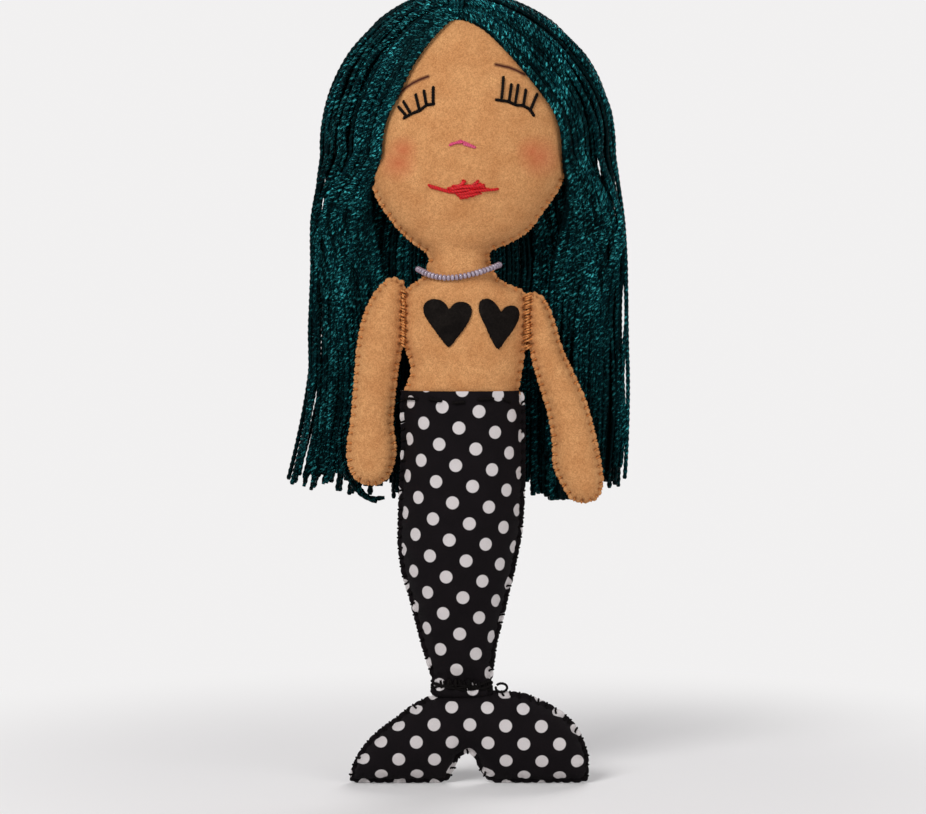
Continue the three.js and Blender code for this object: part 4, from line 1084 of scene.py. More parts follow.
# %% Eyes
# for each eye: piece, replaced solid, lid line and lashes, in picture points
EYES = (
    ("right_eye_stitches", "right_eye_embroidery",
     [(403.6, 118.4), (412.5, 113.5), (420, 110.6), (427, 105), (434.2, 104.2)],
     [[(406.3, 115.6), (398.2, 106.2)], [(410.8, 113.4), (403.2, 100.8)],
      [(419.6, 110.2), (415.6, 93.8)], [(426.4, 104.8), (424, 90.2)],
      [(433.2, 104.2), (433.4, 86.6)]]),
    ("left_eye_stitches", "left_eye_embroidery",
     [(495.4, 99.8), (507.8, 101.6), (516.6, 105.4), (523, 105.8), (529, 109), (533.8, 116)],
     [[(501.4, 100.4), (503.4, 76.4)], [(508.8, 102), (511.4, 83.8)],
      [(514.8, 104.4), (518.2, 84.2)], [(523, 106), (525.8, 89.2)],
      [(530.2, 110), (537.2, 93.2)]]),
)
for name, node, lid, lashes in EYES:
    runs = [stitch_on_face([a, b], 0.35) for a, b in zip(lid, lid[1:])]
    runs += [stitch_on_face(lash, 0.42) for lash in lashes]
    eye = sew(name, runs, LASH_THREAD, black_thread, "torso", ridge_pitch=1.1)
    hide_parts(node)

# %% [markdown]
# The nose is four pink stitches. The lips are filled with long red satin stitches that run nearly
# level and lie over one another, so the later ones are lifted higher.

# %% Nose and lips
# each stitch: its two ends in picture points, and its lift in mm
NOSE_RUNS = (
    ((449.2, 145.6), (461.6, 140.6), 0.35), ((450.4, 144), (463.4, 142), 0.5),
    ((461.4, 141), (475.8, 147.8), 0.45), ((463, 144), (475, 147.6), 0.35),
)
LIP_RUNS = (
    ((452, 192.5), (482, 193.5), 0.3), ((457, 195.4), (474, 196), 0.3),
    ((447.5, 190.5), (489, 190.4), 0.35), ((447, 188.2), (486, 187.6), 0.35),
    ((452, 186), (484, 185.4), 0.35), ((460, 198), (468, 197.2), 0.35),
    ((428, 185), (449, 191), 0.5), ((429, 186.4), (453, 192.8), 0.4),
    ((478, 190.8), (498.4, 189), 0.55), ((455.5, 188), (465.5, 181.4), 0.8),
    ((459.8, 189), (463.4, 180.4), 0.7), ((470, 187.4), (478.4, 180.6), 0.8),
    ((473, 188.6), (481, 183.6), 0.7), ((449.5, 189.6), (468, 185.8), 0.85),
    ((462, 187.4), (484.6, 184.8), 0.85), ((450.4, 191.6), (471, 189.2), 0.8),
    ((466, 192), (489, 189), 0.85), ((456, 194), (476, 191.6), 0.8),
    ((461, 197.4), (480, 192.8), 0.85), ((458.8, 195.8), (472, 194.6), 0.7),
    ((475.4, 183.4), (484.8, 188), 0.8),
)
nose, lips = (
    sew(name, [stitch_on_face([a, b], lift) for a, b, lift in runs], radius, thread, "torso",
        ridge_pitch=pitch)
    for name, runs, radius, thread, pitch in (
        ("nose_stitches_pink", NOSE_RUNS, NOSE_THREAD, pink_thread, 0.9),
        ("lip_satin_stitches", LIP_RUNS, LIP_THREAD, red_thread, 1.0),
    )
)
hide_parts("nose_stitches")
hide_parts("lip_embroidery")
print("face stitched")

# %% [markdown]
# Brows and rouge are colour rubbed into the felt, so they belong to the material and not to the
# mesh. A drawn line is a mask of the distance to a short straight piece, seen from the front.

# %% Drawn lines and rouge on the felt
drawn = Effect(
    "drawn_line", {"Place": "Vector", "Start": "Vector", "End": "Vector", "Width": "Float"},
    {"Line": "Float"},
)
start, end, width = (drawn.taken[name] for name in ("Start", "End", "Width"))
level = drawn.vector("MULTIPLY", drawn.taken["Place"], (1, 0, 1))
from_start = drawn.vector("SUBTRACT", level, start)
whole_way = drawn.vector("SUBTRACT", end, start)
part = drawn.vector("DOT_PRODUCT", from_start, whole_way)
square = drawn.vector("DOT_PRODUCT", whole_way, whole_way)
foot = drawn.vector("SCALE", whole_way, Scale=drawn.clamp(drawn.math("DIVIDE", part, square)))
how_far = drawn.vector("LENGTH", drawn.vector("SUBTRACT", from_start, foot))
past_edge = drawn.math("SUBTRACT", width, how_far)
drawn.give(Line=drawn.clamp(drawn.math("DIVIDE", past_edge, width)))

BROWS = [
    [(397, 97.5), (401, 92), (406, 87.5), (413, 83), (420, 79.5), (428, 76.5)],
    [(496, 64.5), (503, 66.2), (509, 67.4), (516.5, 70.4), (524.4, 74.4)],
]
BROW_WIDTH = 1.15
# where in the picture, and how wide in mm
ROUGE = (((398, 163), 8.2), ((402, 150), 6.4), ((539, 157), 9.4), ((532, 152), 7.0))
tan_place = tan_felt.place()


def felt_mark(a, b, wide):
    ends = dict(Start=(a[0] * MM, 0, a[2] * MM), End=(b[0] * MM, 0, b[2] * MM), Width=wide * MM)
    mark = tan_felt.add("Group", node_tree=drawn.group, Place=tan_place, **ends)
    return mark.outputs["Line"]


def strongest(marks):
    whole = marks[0]
    for mark in marks[1:]:
        whole = tan_felt.math("MAXIMUM", whole, mark)
    return whole


brow_marks, rouge_marks = [], []
for stroke in BROWS:
    places = [seen_on(body_tree, *spot) for spot in stroke]
    brow_marks += [felt_mark(a, b, BROW_WIDTH) for a, b in zip(places, places[1:])]
for spot, wide in ROUGE:
    place = seen_on(body_tree, *spot)
    rouge_marks.append(felt_mark(place, place + [0.5, 0, 0], wide))
spread = tan_felt.math("MULTIPLY", strongest(rouge_marks), 0.56)
rouged = tan_felt.blend(spread, tan_seam_shaded, tone(184, 76, 52))
pressed = tan_felt.clamp(tan_felt.math("MULTIPLY", strongest(brow_marks), 1.15))
tan_felt.set(Base_Color=tan_felt.blend(pressed, rouged, tone(66, 28, 24)))
print("brows and rouge drawn")

# %% [markdown]
# The hearts are cut from black felt and lie on the chest. Rings run from the cut edge to the
# middle: the first ones climb the felt's thickness, and the rest follow the chest under them.

# %% Heart patches
def heart_patch(name, picture_outline, node):
    edge = smooth_line(picture_outline, steps=8, closed=True)
    middle = edge.mean(axis=0) + [0, -3]
    rng = np.random.default_rng(len(name))
    wobble = 1 + rng.normal(0, 0.008, (len(edge), 1))
    rings = []
    for share, lift in ((0.985, -0.25), (1.0, 0.35), (0.99, 0.8), (0.96, 1.05), (0.9, 1.15),
                        (0.75, 1.2), (0.5, 1.2), (0.25, 1.2), (0.02, 1.2)):
        ring = middle + (edge - middle) * share * (wobble if share > 0.9 else 1)
        rings.append([seen_on(body_tree, *spot, lift) for spot in ring])
    rings = np.array(rings)
    patch = skin(name, rings, np.zeros(rings.shape[:2]), black_felt.material)
    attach(patch, "torso")
    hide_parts(node)


# the cut edges, in picture points
RIGHT_HEART = [
    (449.3, 309), (455, 303.4), (462, 302), (469, 304.4), (471.8, 310), (470.6, 317.5),
    (465.6, 327), (458, 337), (449, 347), (440.6, 338), (432.6, 327), (426, 317), (423.8, 309.5),
    (426, 303), (432, 299.4), (440, 300), (445.8, 304),
]
LEFT_HEART = [
    (500.7, 312), (505, 307.4), (511, 305.6), (516.3, 307.8), (518.3, 314), (516.5, 322),
    (511, 332), (504.5, 341), (497.5, 349), (491, 339), (485.5, 327), (480.5, 316), (478.5, 308),
    (480, 301.5), (485.5, 298.8), (491.5, 300.5), (496.8, 306),
]
heart_patch("right_heart_patch", RIGHT_HEART, "right_heart_felt")
heart_patch("left_heart_patch", LEFT_HEART, "left_heart_felt")
print("hearts laid")

# %% [markdown]
# The necklace is 53 glass seed beads on a thread. One bead is a small fat ring, a torus
# with its hole along the thread. It is modelled once and copied round the neck, slightly
# uneven, as the real ones are.

# %% The necklace's thread
BEAD_PITCH, BEAD_RADIUS = 1.62, 1.28
NECK_MIDDLE, NECK_HALF, NECK_FRONT, NECK_BACK = -3.7, 16.2, 10.9, 10.4
around = np.linspace(0, 2 * math.pi, 721)[:-1]
loop = np.stack([
    NECK_MIDDLE + NECK_HALF * np.cos(around),
    SEAM_Y - np.where(np.sin(around) > 0, NECK_FRONT, NECK_BACK) * np.sin(around),
    0 * around,
], axis=-1)
NECKLACE_HANG = np.array([
    (-19.9, 206.2), (-17, 204.6), (-14.8, 203.7), (-12, 203.0), (-8.8, 202.6), (-4.8, 202.8),
    (-0.8, 203.5), (3.2, 204.5), (7.2, 205.8), (10.4, 207.0), (12.5, 208.0),
])
loop[:, 2] = np.interp(loop[:, 0], NECKLACE_HANG[:, 0], NECKLACE_HANG[:, 1])
loop[:, 2] += 2.6 * np.clip(-np.sin(around), 0, 1) ** 3
for i, spot in enumerate(loop):
    if math.sin(around[i]) > 0.25:
        met = lands_on(body_tree, spot[0], spot[2], lift=BEAD_RADIUS + 0.05)
        if met is not None:
            loop[i, 1] = min(spot[1], met[1])
loop[:, 1] = np.convolve(np.tile(loop[:, 1], 3), np.ones(41) / 41, "same")[720:1440]
string = even_line(np.vstack([loop, loop[:1]]), BEAD_PITCH)[:-1]
print("necklace:", len(string), "places for beads")

# %% Seed bead glass
glass = Finish("seed_bead_glass", roughness=0.12, specular=0.6)
milk = glass.blend(glass.measure("Tint"), tone(128, 112, 128), tone(166, 152, 166))
clouded = glass.blend(glass.noise(glass.place(), 900), milk, tone(146, 130, 146))
glass.set(Base_Color=clouded, Coat_Weight=0.6, Coat_Roughness=0.05)
print("glass:", glass.material.name)

# %% Beads
BEAD_RING, BEAD_TUBE, BEAD_STRETCH = 0.74, 0.54, 1.42
bpy.ops.mesh.primitive_torus_add(
    major_radius=BEAD_RING * MM, minor_radius=BEAD_TUBE * MM, major_segments=16, minor_segments=10
)
bead = bpy.context.object
bead_points = np.array([v.co for v in bead.data.vertices]) / MM * [1, 1, BEAD_STRETCH]
bead_faces = [tuple(p.vertices) for p in bead.data.polygons]
bpy.data.objects.remove(bead)
rng = random.Random(88)
all_points, all_faces, tints = [], [], []
directions = np.roll(string, -1, axis=0) - np.roll(string, 1, axis=0)
for place, direction in zip(string, directions):
    turn = np.array(Vector(direction).to_track_quat("Z", "Y").to_matrix())
    size = np.array([1, 1, rng.uniform(0.9, 1.06)]) * rng.uniform(0.96, 1.03)
    all_faces += [tuple(v + len(tints) * len(bead_points) for v in f) for f in bead_faces]
    all_points.append((bead_points * size) @ turn.T + place)
    tints.append(rng.random())
necklace = new_piece(
    "bead_necklace_glass", np.concatenate(all_points), all_faces, glass.material,
    {"Tint": np.repeat(tints, len(bead_points))},
)
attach(necklace, "torso")
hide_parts("bead_necklace")
print(len(tints), "beads")

# %% [markdown]
# The hair is shiny teal yarn, about 450 lengths of it, sewn down along the parting and hanging
# to the tail's hip. A particle system would give hair, but not plied yarn with a twist that
# shows. Each length is drawn as a twisted thread along its own path: from the parting over the
# head, between an inner and an outer shell, and then down behind the jaw, the shoulders and the
# arms.

# %% The space that the hair fills
HAIR_TOP = 63.95
HAIR_TIPS = 112.6
PARTING_SHIFT = -5.0
PARTING_HALF = 0.7
HAIR_SHELL_IN, HAIR_SHELL_OUT = (41.6, 20.2), (58.1, 26.2)
# height, inner x, outer x, inner back y, outer back y, shift, front angle, squareness, front share
HAIR_ROWS = smooth_line([
    [HEAD_MIDDLE, 41.6, 58.1, 20.2, 26.2, 0, -30, 2, 1],
    [246.5, 42.0, 59.2, 20.2, 26.2, 0.6, -29, 2, 0.72],
    [240.25, 42.6, 60.4, 20.2, 26.2, 1.6, -27, 2.1, 0.36],
    [234, 43.2, 61.2, 20.0, 26.2, 2.8, -29, 2.2, 0.12],
    [227, 44.0, 62.0, 19.6, 26.0, 4.6, -34, 2.3, 0.0],
    [215, 46.4, 63.0, 18.2, 25.2, 7.0, -46, 2.6, 0.0],
    [202, 49.4, 63.8, 16.8, 24.2, 9.7, -56, 2.9, 0.0],
    [188, 51.4, 64.2, 16.3, 23.8, 10.9, -60, 3, 0.0],
    [170, 53.0, 64.6, 16.4, 23.8, 11.5, -62, 3, 0.0],
    [140.6, 54.4, 66.0, 16.4, 23.8, 11.5, -64, 3, 0.0],
    [108, 55.8, 67.8, 16.4, 23.8, 11.5, -66, 3, 0.0],
], steps=8)
# the front edge of the hair in the picture, from the parting down
FRONT_EDGE = {
    -1: [(454, 17), (446, 23), (427, 43), (408, 72), (398, 94), (390, 115), (383, 137), (372, 160)],
    1: [(457, 16), (470, 20), (486, 29), (508, 51), (532, 80), (548, 103), (560, 125), (566, 145),
        (568, 160)],
}


def over_shell(wide, deep, tall, reach, degrees):
    angle = np.radians(degrees)
    x = (1.4 + (wide - 1.4) * reach) * np.cos(angle)
    y = (9 + (deep - 9) * reach) * np.sin(angle)
    height = np.sqrt(np.maximum(0, 1 - (x / wide) ** 2 - (y / deep) ** 2))
    return x, y, HEAD_MIDDLE + tall * height


print("hair reaches from", HEAD_MIDDLE + HAIR_TOP, "down to", HAIR_TIPS, "mm")

# %% [markdown]
# The hair's front edge frames the face, so it has to run where the picture shows it. For each
# reach down the head, the angle is looked for at which the inner shell meets that edge.

# %% The front edge of the hair
REACHES = np.linspace(0.02, 1, 50)
EDGE_ANGLES = {}
for side, pixels in FRONT_EDGE.items():
    edge = smooth_line([seen_on(body_tree, *spot, 1.0)[[0, 2]] for spot in pixels])
    tries = np.arange(-88.0, 4.0, 0.5)
    found = []
    for reach in REACHES:
        x, _, z = over_shell(43.0, 20.8, HAIR_TOP - 3.6, reach, tries)
        across = side * (x + PARTING_HALF) + PARTING_SHIFT * (1 - reach) ** 1.5
        gap = np.hypot(across[:, None] - edge[:, 0], z[:, None] - edge[:, 1]).min(axis=1)
        found.append(tries[gap.argmin()])
    padded = np.pad(np.array(found), 3, mode="edge")
    EDGE_ANGLES[side] = np.convolve(padded, np.ones(7) / 7, "valid")

print("the edge swings from", [round(a[0]) for a in EDGE_ANGLES.values()], "to",
      [round(a[-1]) for a in EDGE_ANGLES.values()], "degrees")

# %% [markdown]
# A strand is told apart by three numbers: its side, how far round the head it lies, and how far
# out in the hair's thickness. Over the head it lies between two rounded shells. Below the jaw
# the shells flatten behind the shoulders, and the strands spread evenly along them.

# %% Hair paths
HEAD_STEPS, FALL_STEPS = 34, 40  # points on a strand, over the head and below it
FACE_END = 226  # the height in mm down to which the front edge lies on the felt
FLARE_TOP, FLARE = 168, {-1: 0.08, 1: -0.045}  # below this height a side spreads or draws in


def within(value, top=1.0):
    return min(top, max(0.0, value))


def eased(value):
    """From 0 to 1, starting and ending softly."""
    value = within(value)
    return value * value * (3 - 2 * value)


def layer_at(out, around, on_head):
    """The layers come together where the hair's front edge lies on the felt."""
    return out * (1 - on_head * 0.85 * (1 - eased(around / 0.3)))


def over_head(side, around, out, down):
    reach = math.sin(down * math.pi / 2)
    out = layer_at(out, around, 1.0)
    wide = HAIR_SHELL_IN[0] + (HAIR_SHELL_OUT[0] - HAIR_SHELL_IN[0]) * out
    deep = HAIR_SHELL_IN[1] + (HAIR_SHELL_OUT[1] - HAIR_SHELL_IN[1]) * out
    first = np.interp(reach, REACHES, EDGE_ANGLES[side])
    x, y, z = over_shell(wide, deep, HAIR_TOP - 4 * (1 - out), reach, first + (90 - first) * around)
    return [side * (PARTING_HALF + x) + PARTING_SHIFT * (1 - reach) ** 1.5, y + SEAM_Y, z]


def below_head(side, around, out, z):
    across = -1 if around > 1 else 1
    around = min(around, 2 - around)
    row = [np.interp(-z, -HAIR_ROWS[:, 0], HAIR_ROWS[:, k]) for k in range(1, 9)]
    in_x, out_x, in_y, out_y, shift, first, square, front_share = row
    on_head = within((z - FACE_END) / (HEAD_MIDDLE - FACE_END))
    out = layer_at(out, around, on_head)
    first += (EDGE_ANGLES[side][-1] + 30) * on_head

    def spot(degrees, layer):
        angle = np.radians(degrees)
        x = (in_x + (out_x - in_x) * layer) * np.abs(np.cos(angle)) ** (2 / square)
        swing = np.sign(degrees) * np.abs(np.sin(angle)) ** (2 / square)
        behind = (in_y + (out_y - in_y) * layer - shift) * swing
        before = behind * front_share - 2.4 * swing * (1 - layer) * (1 - front_share)
        return x, shift + np.where(swing > 0, behind, before)

    turns = np.linspace(first, 90, 60)
    walk = np.concatenate([[0], np.cumsum(np.hypot(*[np.diff(v) for v in spot(turns, 0.6)]))])
    evenly = np.interp(around * walk[-1], walk, turns)
    settled = eased((HEAD_MIDDLE - z) / 85)
    at = (first + (90 - first) * around) * (1 - settled) + evenly * settled
    x, y = spot(at, out)
    hang = within((FLARE_TOP - z) / 42, 1.2)
    x *= 1 + FLARE[side] * hang**1.5
    half = PARTING_HALF * within((z - 200) / 30) * (1 - around)
    return [side * (x * across + half), y + SEAM_Y, z]


def strand_path(side, around, out, tip, rng, stray=None):
    """One length of yarn: it wanders a little in its layer, more towards its free end. A stray one
    leaves its layer near the end and follows its own points."""
    waves = [(rng.uniform(0.5, 1.6), rng.uniform(0, 6.28), rng.uniform(0.4, 1)) for _ in range(3)]

    def wander(t, size):
        return size * sum(w * math.sin(f * t * 6.28 + p) for f, p, w in waves) / 3

    loose = 0.35 + 0.65 * out
    path = []
    for down in np.linspace(0.03, 1, HEAD_STEPS):
        a = within(around + wander(down, 0.013 * loose))
        path.append(over_head(side, a, within(out + wander(down * 1.7 + 3, 0.13)), down))
    for t in np.linspace(0, 1, FALL_STEPS)[1:]:
        z = HEAD_MIDDLE + (tip - HEAD_MIDDLE) * t
        a = within(around + wander(1 + 0.6 * t, (0.012 + 0.014 * t) * loose), 1.04)
        path.append(below_head(side, a, within(out + wander(4.7 + t, 0.13)), z))
    if stray is not None:
        path = [spot for spot in path if spot[2] > stray[0][2] + 14] + stray
    return smooth_line(path, steps=3)


print("hair paths ready")

# %% [markdown]
# The yarn is rayon. Its colour is nearly black teal, with painted shade in the grooves between its
# plies and short bright dashes of painted glints where single filaments would catch the light. The
# dashes are a noise that runs along each strand, so they need the strand's own measures: length
# along it, which strand it is, and ply. Painted light and shade also make whole locks and strands
# lighter or darker, and the hair darker towards the bottom.

# %% Teal yarn material
yarn, plain_yarn = thread_finish(
    "teal_yarn", (0, 1, 2), (0, 6, 9), (2, 44, 52), 0.36, 0.05, fibre=1600
)
yarn.set(Specular_Tint=(0.2, 0.9, 1.0, 1))
teal_yarn = yarn.material
measures = yarn.add("CombineXYZ", *[
    yarn.math("MULTIPLY", yarn.measure(name), stretch)
    for name, stretch in (("Along", 0.8), ("Tint", 70.0), ("Ridge", 4.6))
])
# painted glints: bright cyan dashes where the noise is high, only on the ply tops
glint_mask = yarn.span(yarn.noise(measures.outputs[0], 1.0), 0.56, 0.63, 0.0, 1.0)
on_ply = yarn.math("MULTIPLY", glint_mask, yarn.measure("Ridge"))
painted_glints = yarn.blend(on_ply, plain_yarn, tone(92, 244, 250))
# painted light and shade: whole locks and single strands are painted lighter or darker, as if
# turned to the lamp or away from it, and the hair is painted darker towards the bottom
yarn_place = yarn.place()
long_patches = yarn.add("Mapping", Vector=yarn_place, Scale=(95, 95, 17)).outputs[0]
painted_lock_light = yarn.span(yarn.noise(long_patches, 1.0, 1.0), 0.34, 0.58, 0.25, 1.0)
painted_strand_light = yarn.span(yarn.measure("Tint"), 0.0, 0.9, 0.1, 1.0)
painted_low_shade = yarn.span(yarn.add("SeparateXYZ", yarn_place).outputs["Z"], 0.17, 0.29, 0.45, 1.0)
painted_light = yarn.math("MULTIPLY", yarn.math("MULTIPLY", painted_lock_light, painted_strand_light), painted_low_shade)
# where the painted light is low, the yarn is painted near black
yarn.set(Base_Color=yarn.blend(painted_light, tone(0, 2, 3), painted_glints))
print("yarn dyed")

# %% [markdown]
# Five layers a side hide the felt. The strands of the outer ones gather in locks, a few strands
# each, with dark valleys between, darkened further by painted shade. Strands by the face edge get
# painted light. Strands vary in thickness and shade, and their ends are uneven.

# %% Hair strands
# how far out in the hair's thickness each layer lies, and how many strands it has
LAYERS = ((0.0, 50), (0.16, 47), (0.4, 42), (0.68, 42), (0.94, 42))
LOCKS = 11
BUNDLES = 5  # pieces a side
YARN_TWIST, YARN_STEP = 2.6, 0.8
# heights in mm where the locks end at the front edge, and how that changes further back
LEFT_END, LEFT_DROP, RIGHT_END, RIGHT_RISE = 127, 14, 113.5, 11


def tip_height(side, around):
    """Where a lock ends, as in the picture: the two sides hang unevenly."""
    ease = eased(around / 0.3)
    if side > 0:
        return LEFT_END - LEFT_DROP * ease
    return RIGHT_END + RIGHT_RISE * ease * max(0.0, 1 - max(0.0, around - 0.34) / 0.2)


STRAYS = [
    [(-46.8, 5.5, 152), (-51.4, 5.0, 140.4), (-51.0, 4.0, 130), (-48.2, 3.2, 122.6),
     (-43, 2.6, 115.8), (-36.6, 2.4, 112.8)],
    [(-44.8, 6.5, 150), (-49.2, 6.0, 139), (-48.6, 5.0, 129), (-45.6, 4.4, 121.5),
     (-40.4, 4.0, 114.6), (-33.6, 4.0, 114.4)],
    [(-29.4, 6.0, 140), (-28.4, 5.6, 132), (-28.0, 5.0, 124), (-28.8, 4.6, 116.4)],
]
for side, side_name, body_name, seed in (
    (1, "left", "left_hair", 5), (-1, "right", "right_hair", 6),
):
    rng = random.Random(seed)
    cuts = [rng.uniform(-2, 11) for _ in range(LOCKS + 3)]
    bundle = []
    for out, count in LAYERS:
        for k in range(count):
            around = (k + 0.5 + rng.uniform(-0.4, 0.4) * (0.15 + 0.8 * out)) / (count - 1.4)
            lock = 2 * math.pi * LOCKS * around + 1.3 * math.sin(7 * around + side)
            cut = cuts[int(lock / (2 * math.pi) + 0.5) % len(cuts)]
            around += 0.45 * out * math.sin(lock) / (2 * math.pi * LOCKS)
            raised = out + 0.18 * (0.2 + out) * math.cos(lock) + rng.uniform(-0.1, 0.1)
            # a strand's shade: painted light by the face edge, painted shade in the valleys between
            # locks, and a random tint
            painted_face_light = 0.15 * max(0.0, 1 - around / 0.3)
            shade = 0.42 + 0.4 * math.cos(lock) + rng.uniform(-0.45, 0.45) + painted_face_light
            tip = max(HAIR_TIPS, tip_height(side, around) + cut + rng.uniform(-3.5, 3.5))
            thick = rng.uniform(1.25, 1.4) if out < 0.2 else rng.uniform(0.95, 1.2)
            bundle.append((around, within(raised), tip, thick, within(shade), None))
    if side < 0:
        bundle += [(0.1 + 0.08 * k, 0.1, 120.0, 1.15, 0.5, stray) for k, stray in enumerate(STRAYS)]
    bundle.sort(key=lambda entry: entry[0])
    share = math.ceil(len(bundle) / BUNDLES)
    for part in range(BUNDLES):
        mine = bundle[part * share : (part + 1) * share]
        lines = [strand_path(side, *entry[:3], rng, entry[5]) for entry in mine]

        def taper(number, t, sizes=[entry[3] for entry in mine]):
            return sizes[number] * np.clip(np.minimum(t * 60 + 0.8, (1 - t) * 300 + 0.72), 0.72, 1)

        piece = sew(
            f"{side_name}_hair_yarn_{part + 1}", lines, taper, teal_yarn,
            ridge_pitch=YARN_TWIST, depth=0.15, step=YARN_STEP, shades=[entry[4] for entry in mine],
        )
        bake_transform(piece)
    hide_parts(*[f"{side_name}_hair_over_head_{n}" for n in range(1, 6)])
    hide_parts(*[f"{side_name}_hair_fall_{n}" for n in range(1, 6)])

# %% [markdown]
# A row of teal stitches crosses the parting and holds the yarn down. Four more run back from the
# forehead.

# %% Parting stitches
PARTING_ROWS = 8
rng = random.Random(3)
runs = []
for k in range(PARTING_ROWS):
    y = SEAM_Y - 7.6 + k * 2.3
    height = HEAD_MIDDLE + 61.8 * math.sqrt(1 - ((y - SEAM_Y) / 21) ** 2)
    slant = rng.uniform(-0.6, 0.6)
    runs.append(smooth_line([
        [PARTING_SHIFT + across, y + slant * lean, height + rise]
        for across, lean, rise in (
            (-3.6, -1, -1.2), (-1.9, -0.5, 1.6), (0, 0, 1.2), (1.9, 0.5, 1.6), (3.6, 1, -1.2)
        )
    ], steps=5))
# where the stitches at the front of the parting start in the picture, and how far each bows
PARTING_FOOT, PARTING_RISE = 19.5, 15
PARTING_STARTS = ((452.4, -0.4), (455.2, -0.2), (458, 0.1), (460.8, 0.4))
for px, bow in PARTING_STARTS:
    line = [seen_on(body_tree, px, PARTING_FOOT, -0.3), seen_on(body_tree, px, PARTING_RISE, 2.0)]
    for y in (-9.5, -6, -2, 2, 5):
        height = HEAD_MIDDLE + 65.2 * math.sqrt(1 - (y / 22) ** 2)
        line.append([line[0][0] + bow, SEAM_Y + y, height])
    runs.append(smooth_line(line, steps=5))
# a tint of 0.9, which the yarn material reads as painted light
parting = sew("parting_stitches_teal", runs, PARTING_YARN, teal_yarn, "torso", ridge_pitch=2.2,
              shades=[0.9] * len(runs))
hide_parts("parting_stitches")

# %% [markdown]
# At the ankle the gathered end of the tail is oversewn to the fluke with messy black stitches. A
# short gathered neck of cotton closes the joint.

# %% Ankle neck
ANKLE_MIDDLE = -2.5
neck_rings, neck_map = [], []
turns = np.linspace(0, 2 * math.pi, 97)[:-1]
# height, half width and half depth, mm
NECK_ROWS = (
    (43.6, 10.6, 2.6), (42.4, 11.4, 3.6), (41, 11.6, 3.7), (39.6, 11.5, 3.5), (38.2, 11.9, 3.9),
    (36.8, 12.2, 4.4), (35.4, 11.6, 3.8), (34.6, 10.4, 2.6),
)
for z, half_x, half_y in NECK_ROWS:
    gathers = 1 + 0.06 * np.sin(turns * 17 + 0.6 * np.sin(turns * 5)) * (0.6 + 0.4 * math.cos(z))
    x = ANKLE_MIDDLE + half_x * np.cos(turns) * gathers
    y = SEAM_Y + half_y * np.sin(turns) * (gathers**2)
    neck_rings.append(np.stack([x, y, np.full(len(turns), z)], axis=-1))
    neck_map.append(np.stack([x * 1.1, np.full(len(turns), z)], axis=-1))
neck_rings = np.array(neck_rings)
ankle = skin("ankle_cotton", neck_rings, np.zeros(neck_rings.shape[:2]), tail_cotton,
             lambda row, column, is_front: tuple(neck_map[row][column % len(turns)]))
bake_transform(ankle)
print("ankle closed")

# %% [markdown]
# The ankle stitches go up and down over the joint, three more wind round it, and one has stood up
# as a small loop.

# %% Ankle stitches and loop
ANKLE_STITCHES, STITCH_SPACING, ANKLE_WRAPS = 17, 1.36, 3
rng = random.Random(19)
runs = []
for back in (False, True):
    for k in range(ANKLE_STITCHES):
        x = -13.2 + k * STITCH_SPACING + rng.uniform(-0.5, 0.5)
        slant = rng.uniform(-1.6, 2.4)
        low = lands_on(fluke_tree, x - slant / 2, 37.2 - rng.uniform(0.6, 1.6), back, 0.1)
        high = lands_on(tail_tree, x + slant / 2, 41.0 + rng.uniform(0.4, 1.8), back, 0.1)
        if low is not None and high is not None:
            bulge = np.array([0, (1 if back else -1) * rng.uniform(0.7, 1.3), 0])
            over = [low * (1 - t) + high * t + bulge for t in (0.4, 0.7)]
            runs.append(smooth_line([low, *over, high], 4))
for k in range(ANKLE_WRAPS):
    wrap = np.linspace(0, 2 * math.pi, 60)
    sag = np.sin(wrap * 5 + k * 2) * 0.5 + np.sin(wrap * 2 + k) * 0.7
    x, y = ANKLE_MIDDLE + 12.1 * np.cos(wrap), SEAM_Y + 4.0 * np.sin(wrap)
    runs.append(np.stack([x, y, 38.6 + k * 0.8 + sag], axis=-1))
spin = np.linspace(-0.6, math.pi * 2 - 1.0, 22)
x, z = 13.4 + 2.3 * np.cos(spin + 3.5), 38.6 + 1.8 * np.sin(spin + 3.5)
runs.append(np.stack([x, SEAM_Y - 1.2 + 0.5 * np.sin(spin), z], axis=-1))
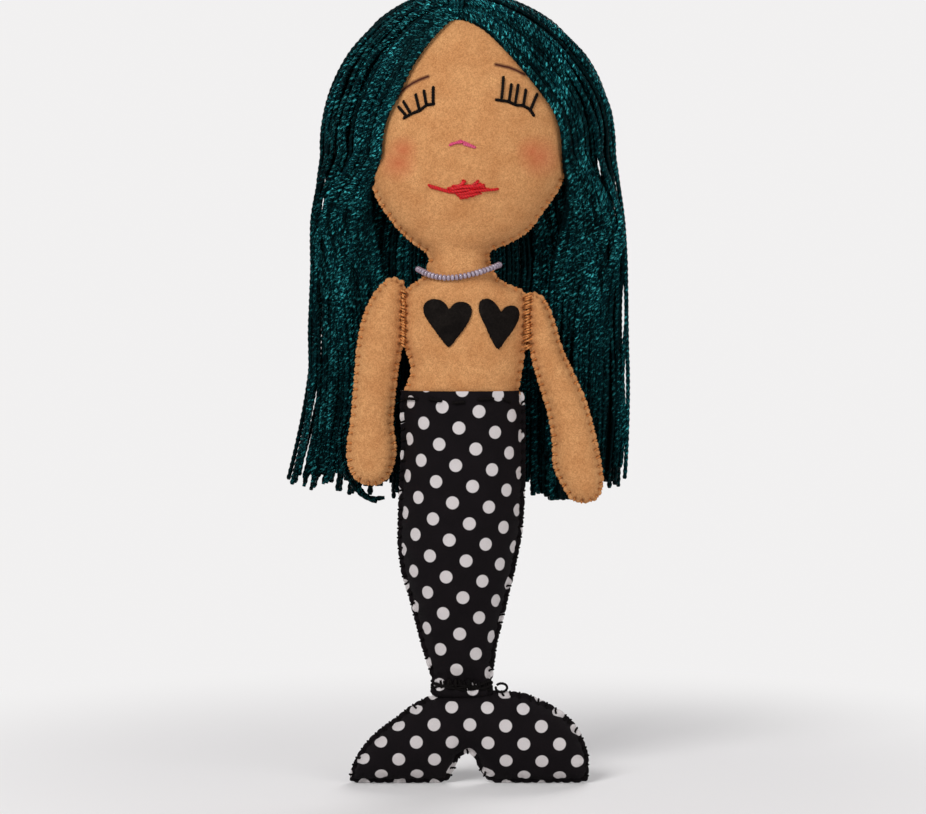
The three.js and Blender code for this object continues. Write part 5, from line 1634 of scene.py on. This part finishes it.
ankle_stitches = sew("ankle_stitches", runs, ANKLE_THREAD, black_thread)
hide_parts("ankle_seam_thread")
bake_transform(ankle_stitches)

# %% [markdown]
# The hem's running stitch shows as short black dashes on the front and on the back. Each dash
# dives into the cloth at both ends.

# %% Hem stitches
# the ends of each dash on the front, in picture points
DASHES = [((405, 398.4), (418, 399)), ((429, 399), (441.4, 401)), ((453, 403), (464.6, 402)),
          ((478, 399.6), (493.4, 398.6)), ((503, 399), (510, 402))]
BACK_DASHES = 6
runs = []
for first, last in DASHES:
    points = [seen_on(tail_tree, *(np.array(first) * (1 - t) + np.array(last) * t),
                      -0.4 if t in (0, 1) else 0.6) for t in (0, 0.12, 0.5, 0.88, 1)]
    runs.append(smooth_line(points, steps=4))
for k in range(BACK_DASHES):
    points = [lands_on(tail_tree, -22 + k * 7.4 + dx, 154 + 0.3 * math.sin(k * 2.3), True, lift)
              for dx, lift in ((0, -0.3), (0.5, 0.3), (2.4, 0.35), (4.3, 0.3), (4.8, -0.3))]
    if all(p is not None for p in points):
        runs.append(smooth_line(points, steps=4))
sew("hem_running_stitch", runs, HEM_THREAD, black_thread, "torso")

# %% [markdown]
# The floor is a plain pale sheet under the doll.

# %% Floor
FADE_FROM, FADE_TO = 0.1, 0.34  # metres from the doll over which the floor fades to the backdrop
bpy.ops.mesh.primitive_plane_add(size=6, location=(0, 0, 0))
floor = bpy.context.object
floor.name = "floor"
ground = Finish("pale_floor", roughness=0.9, specular=0.0)
ground.set(Base_Color=tone(240, 238, 238))
far_out = ground.vector("LENGTH", ground.place())
fade = ground.span(far_out, FADE_FROM, FADE_TO, 0.0, 1.0, interpolation_type="SMOOTHSTEP")
both = ground.math("MULTIPLY", fade, ground.seen_directly())
pale = ground.add("Emission", **BACKDROP)
either = ground.add("MixShader", both, ground.shader.outputs[0], pale.outputs[0])
ground.links.new(either.outputs[0], ground.nodes["Material Output"].inputs["Surface"])
floor.data.materials.append(ground.material)
print("floor laid, it fades out", FADE_TO, "m away")
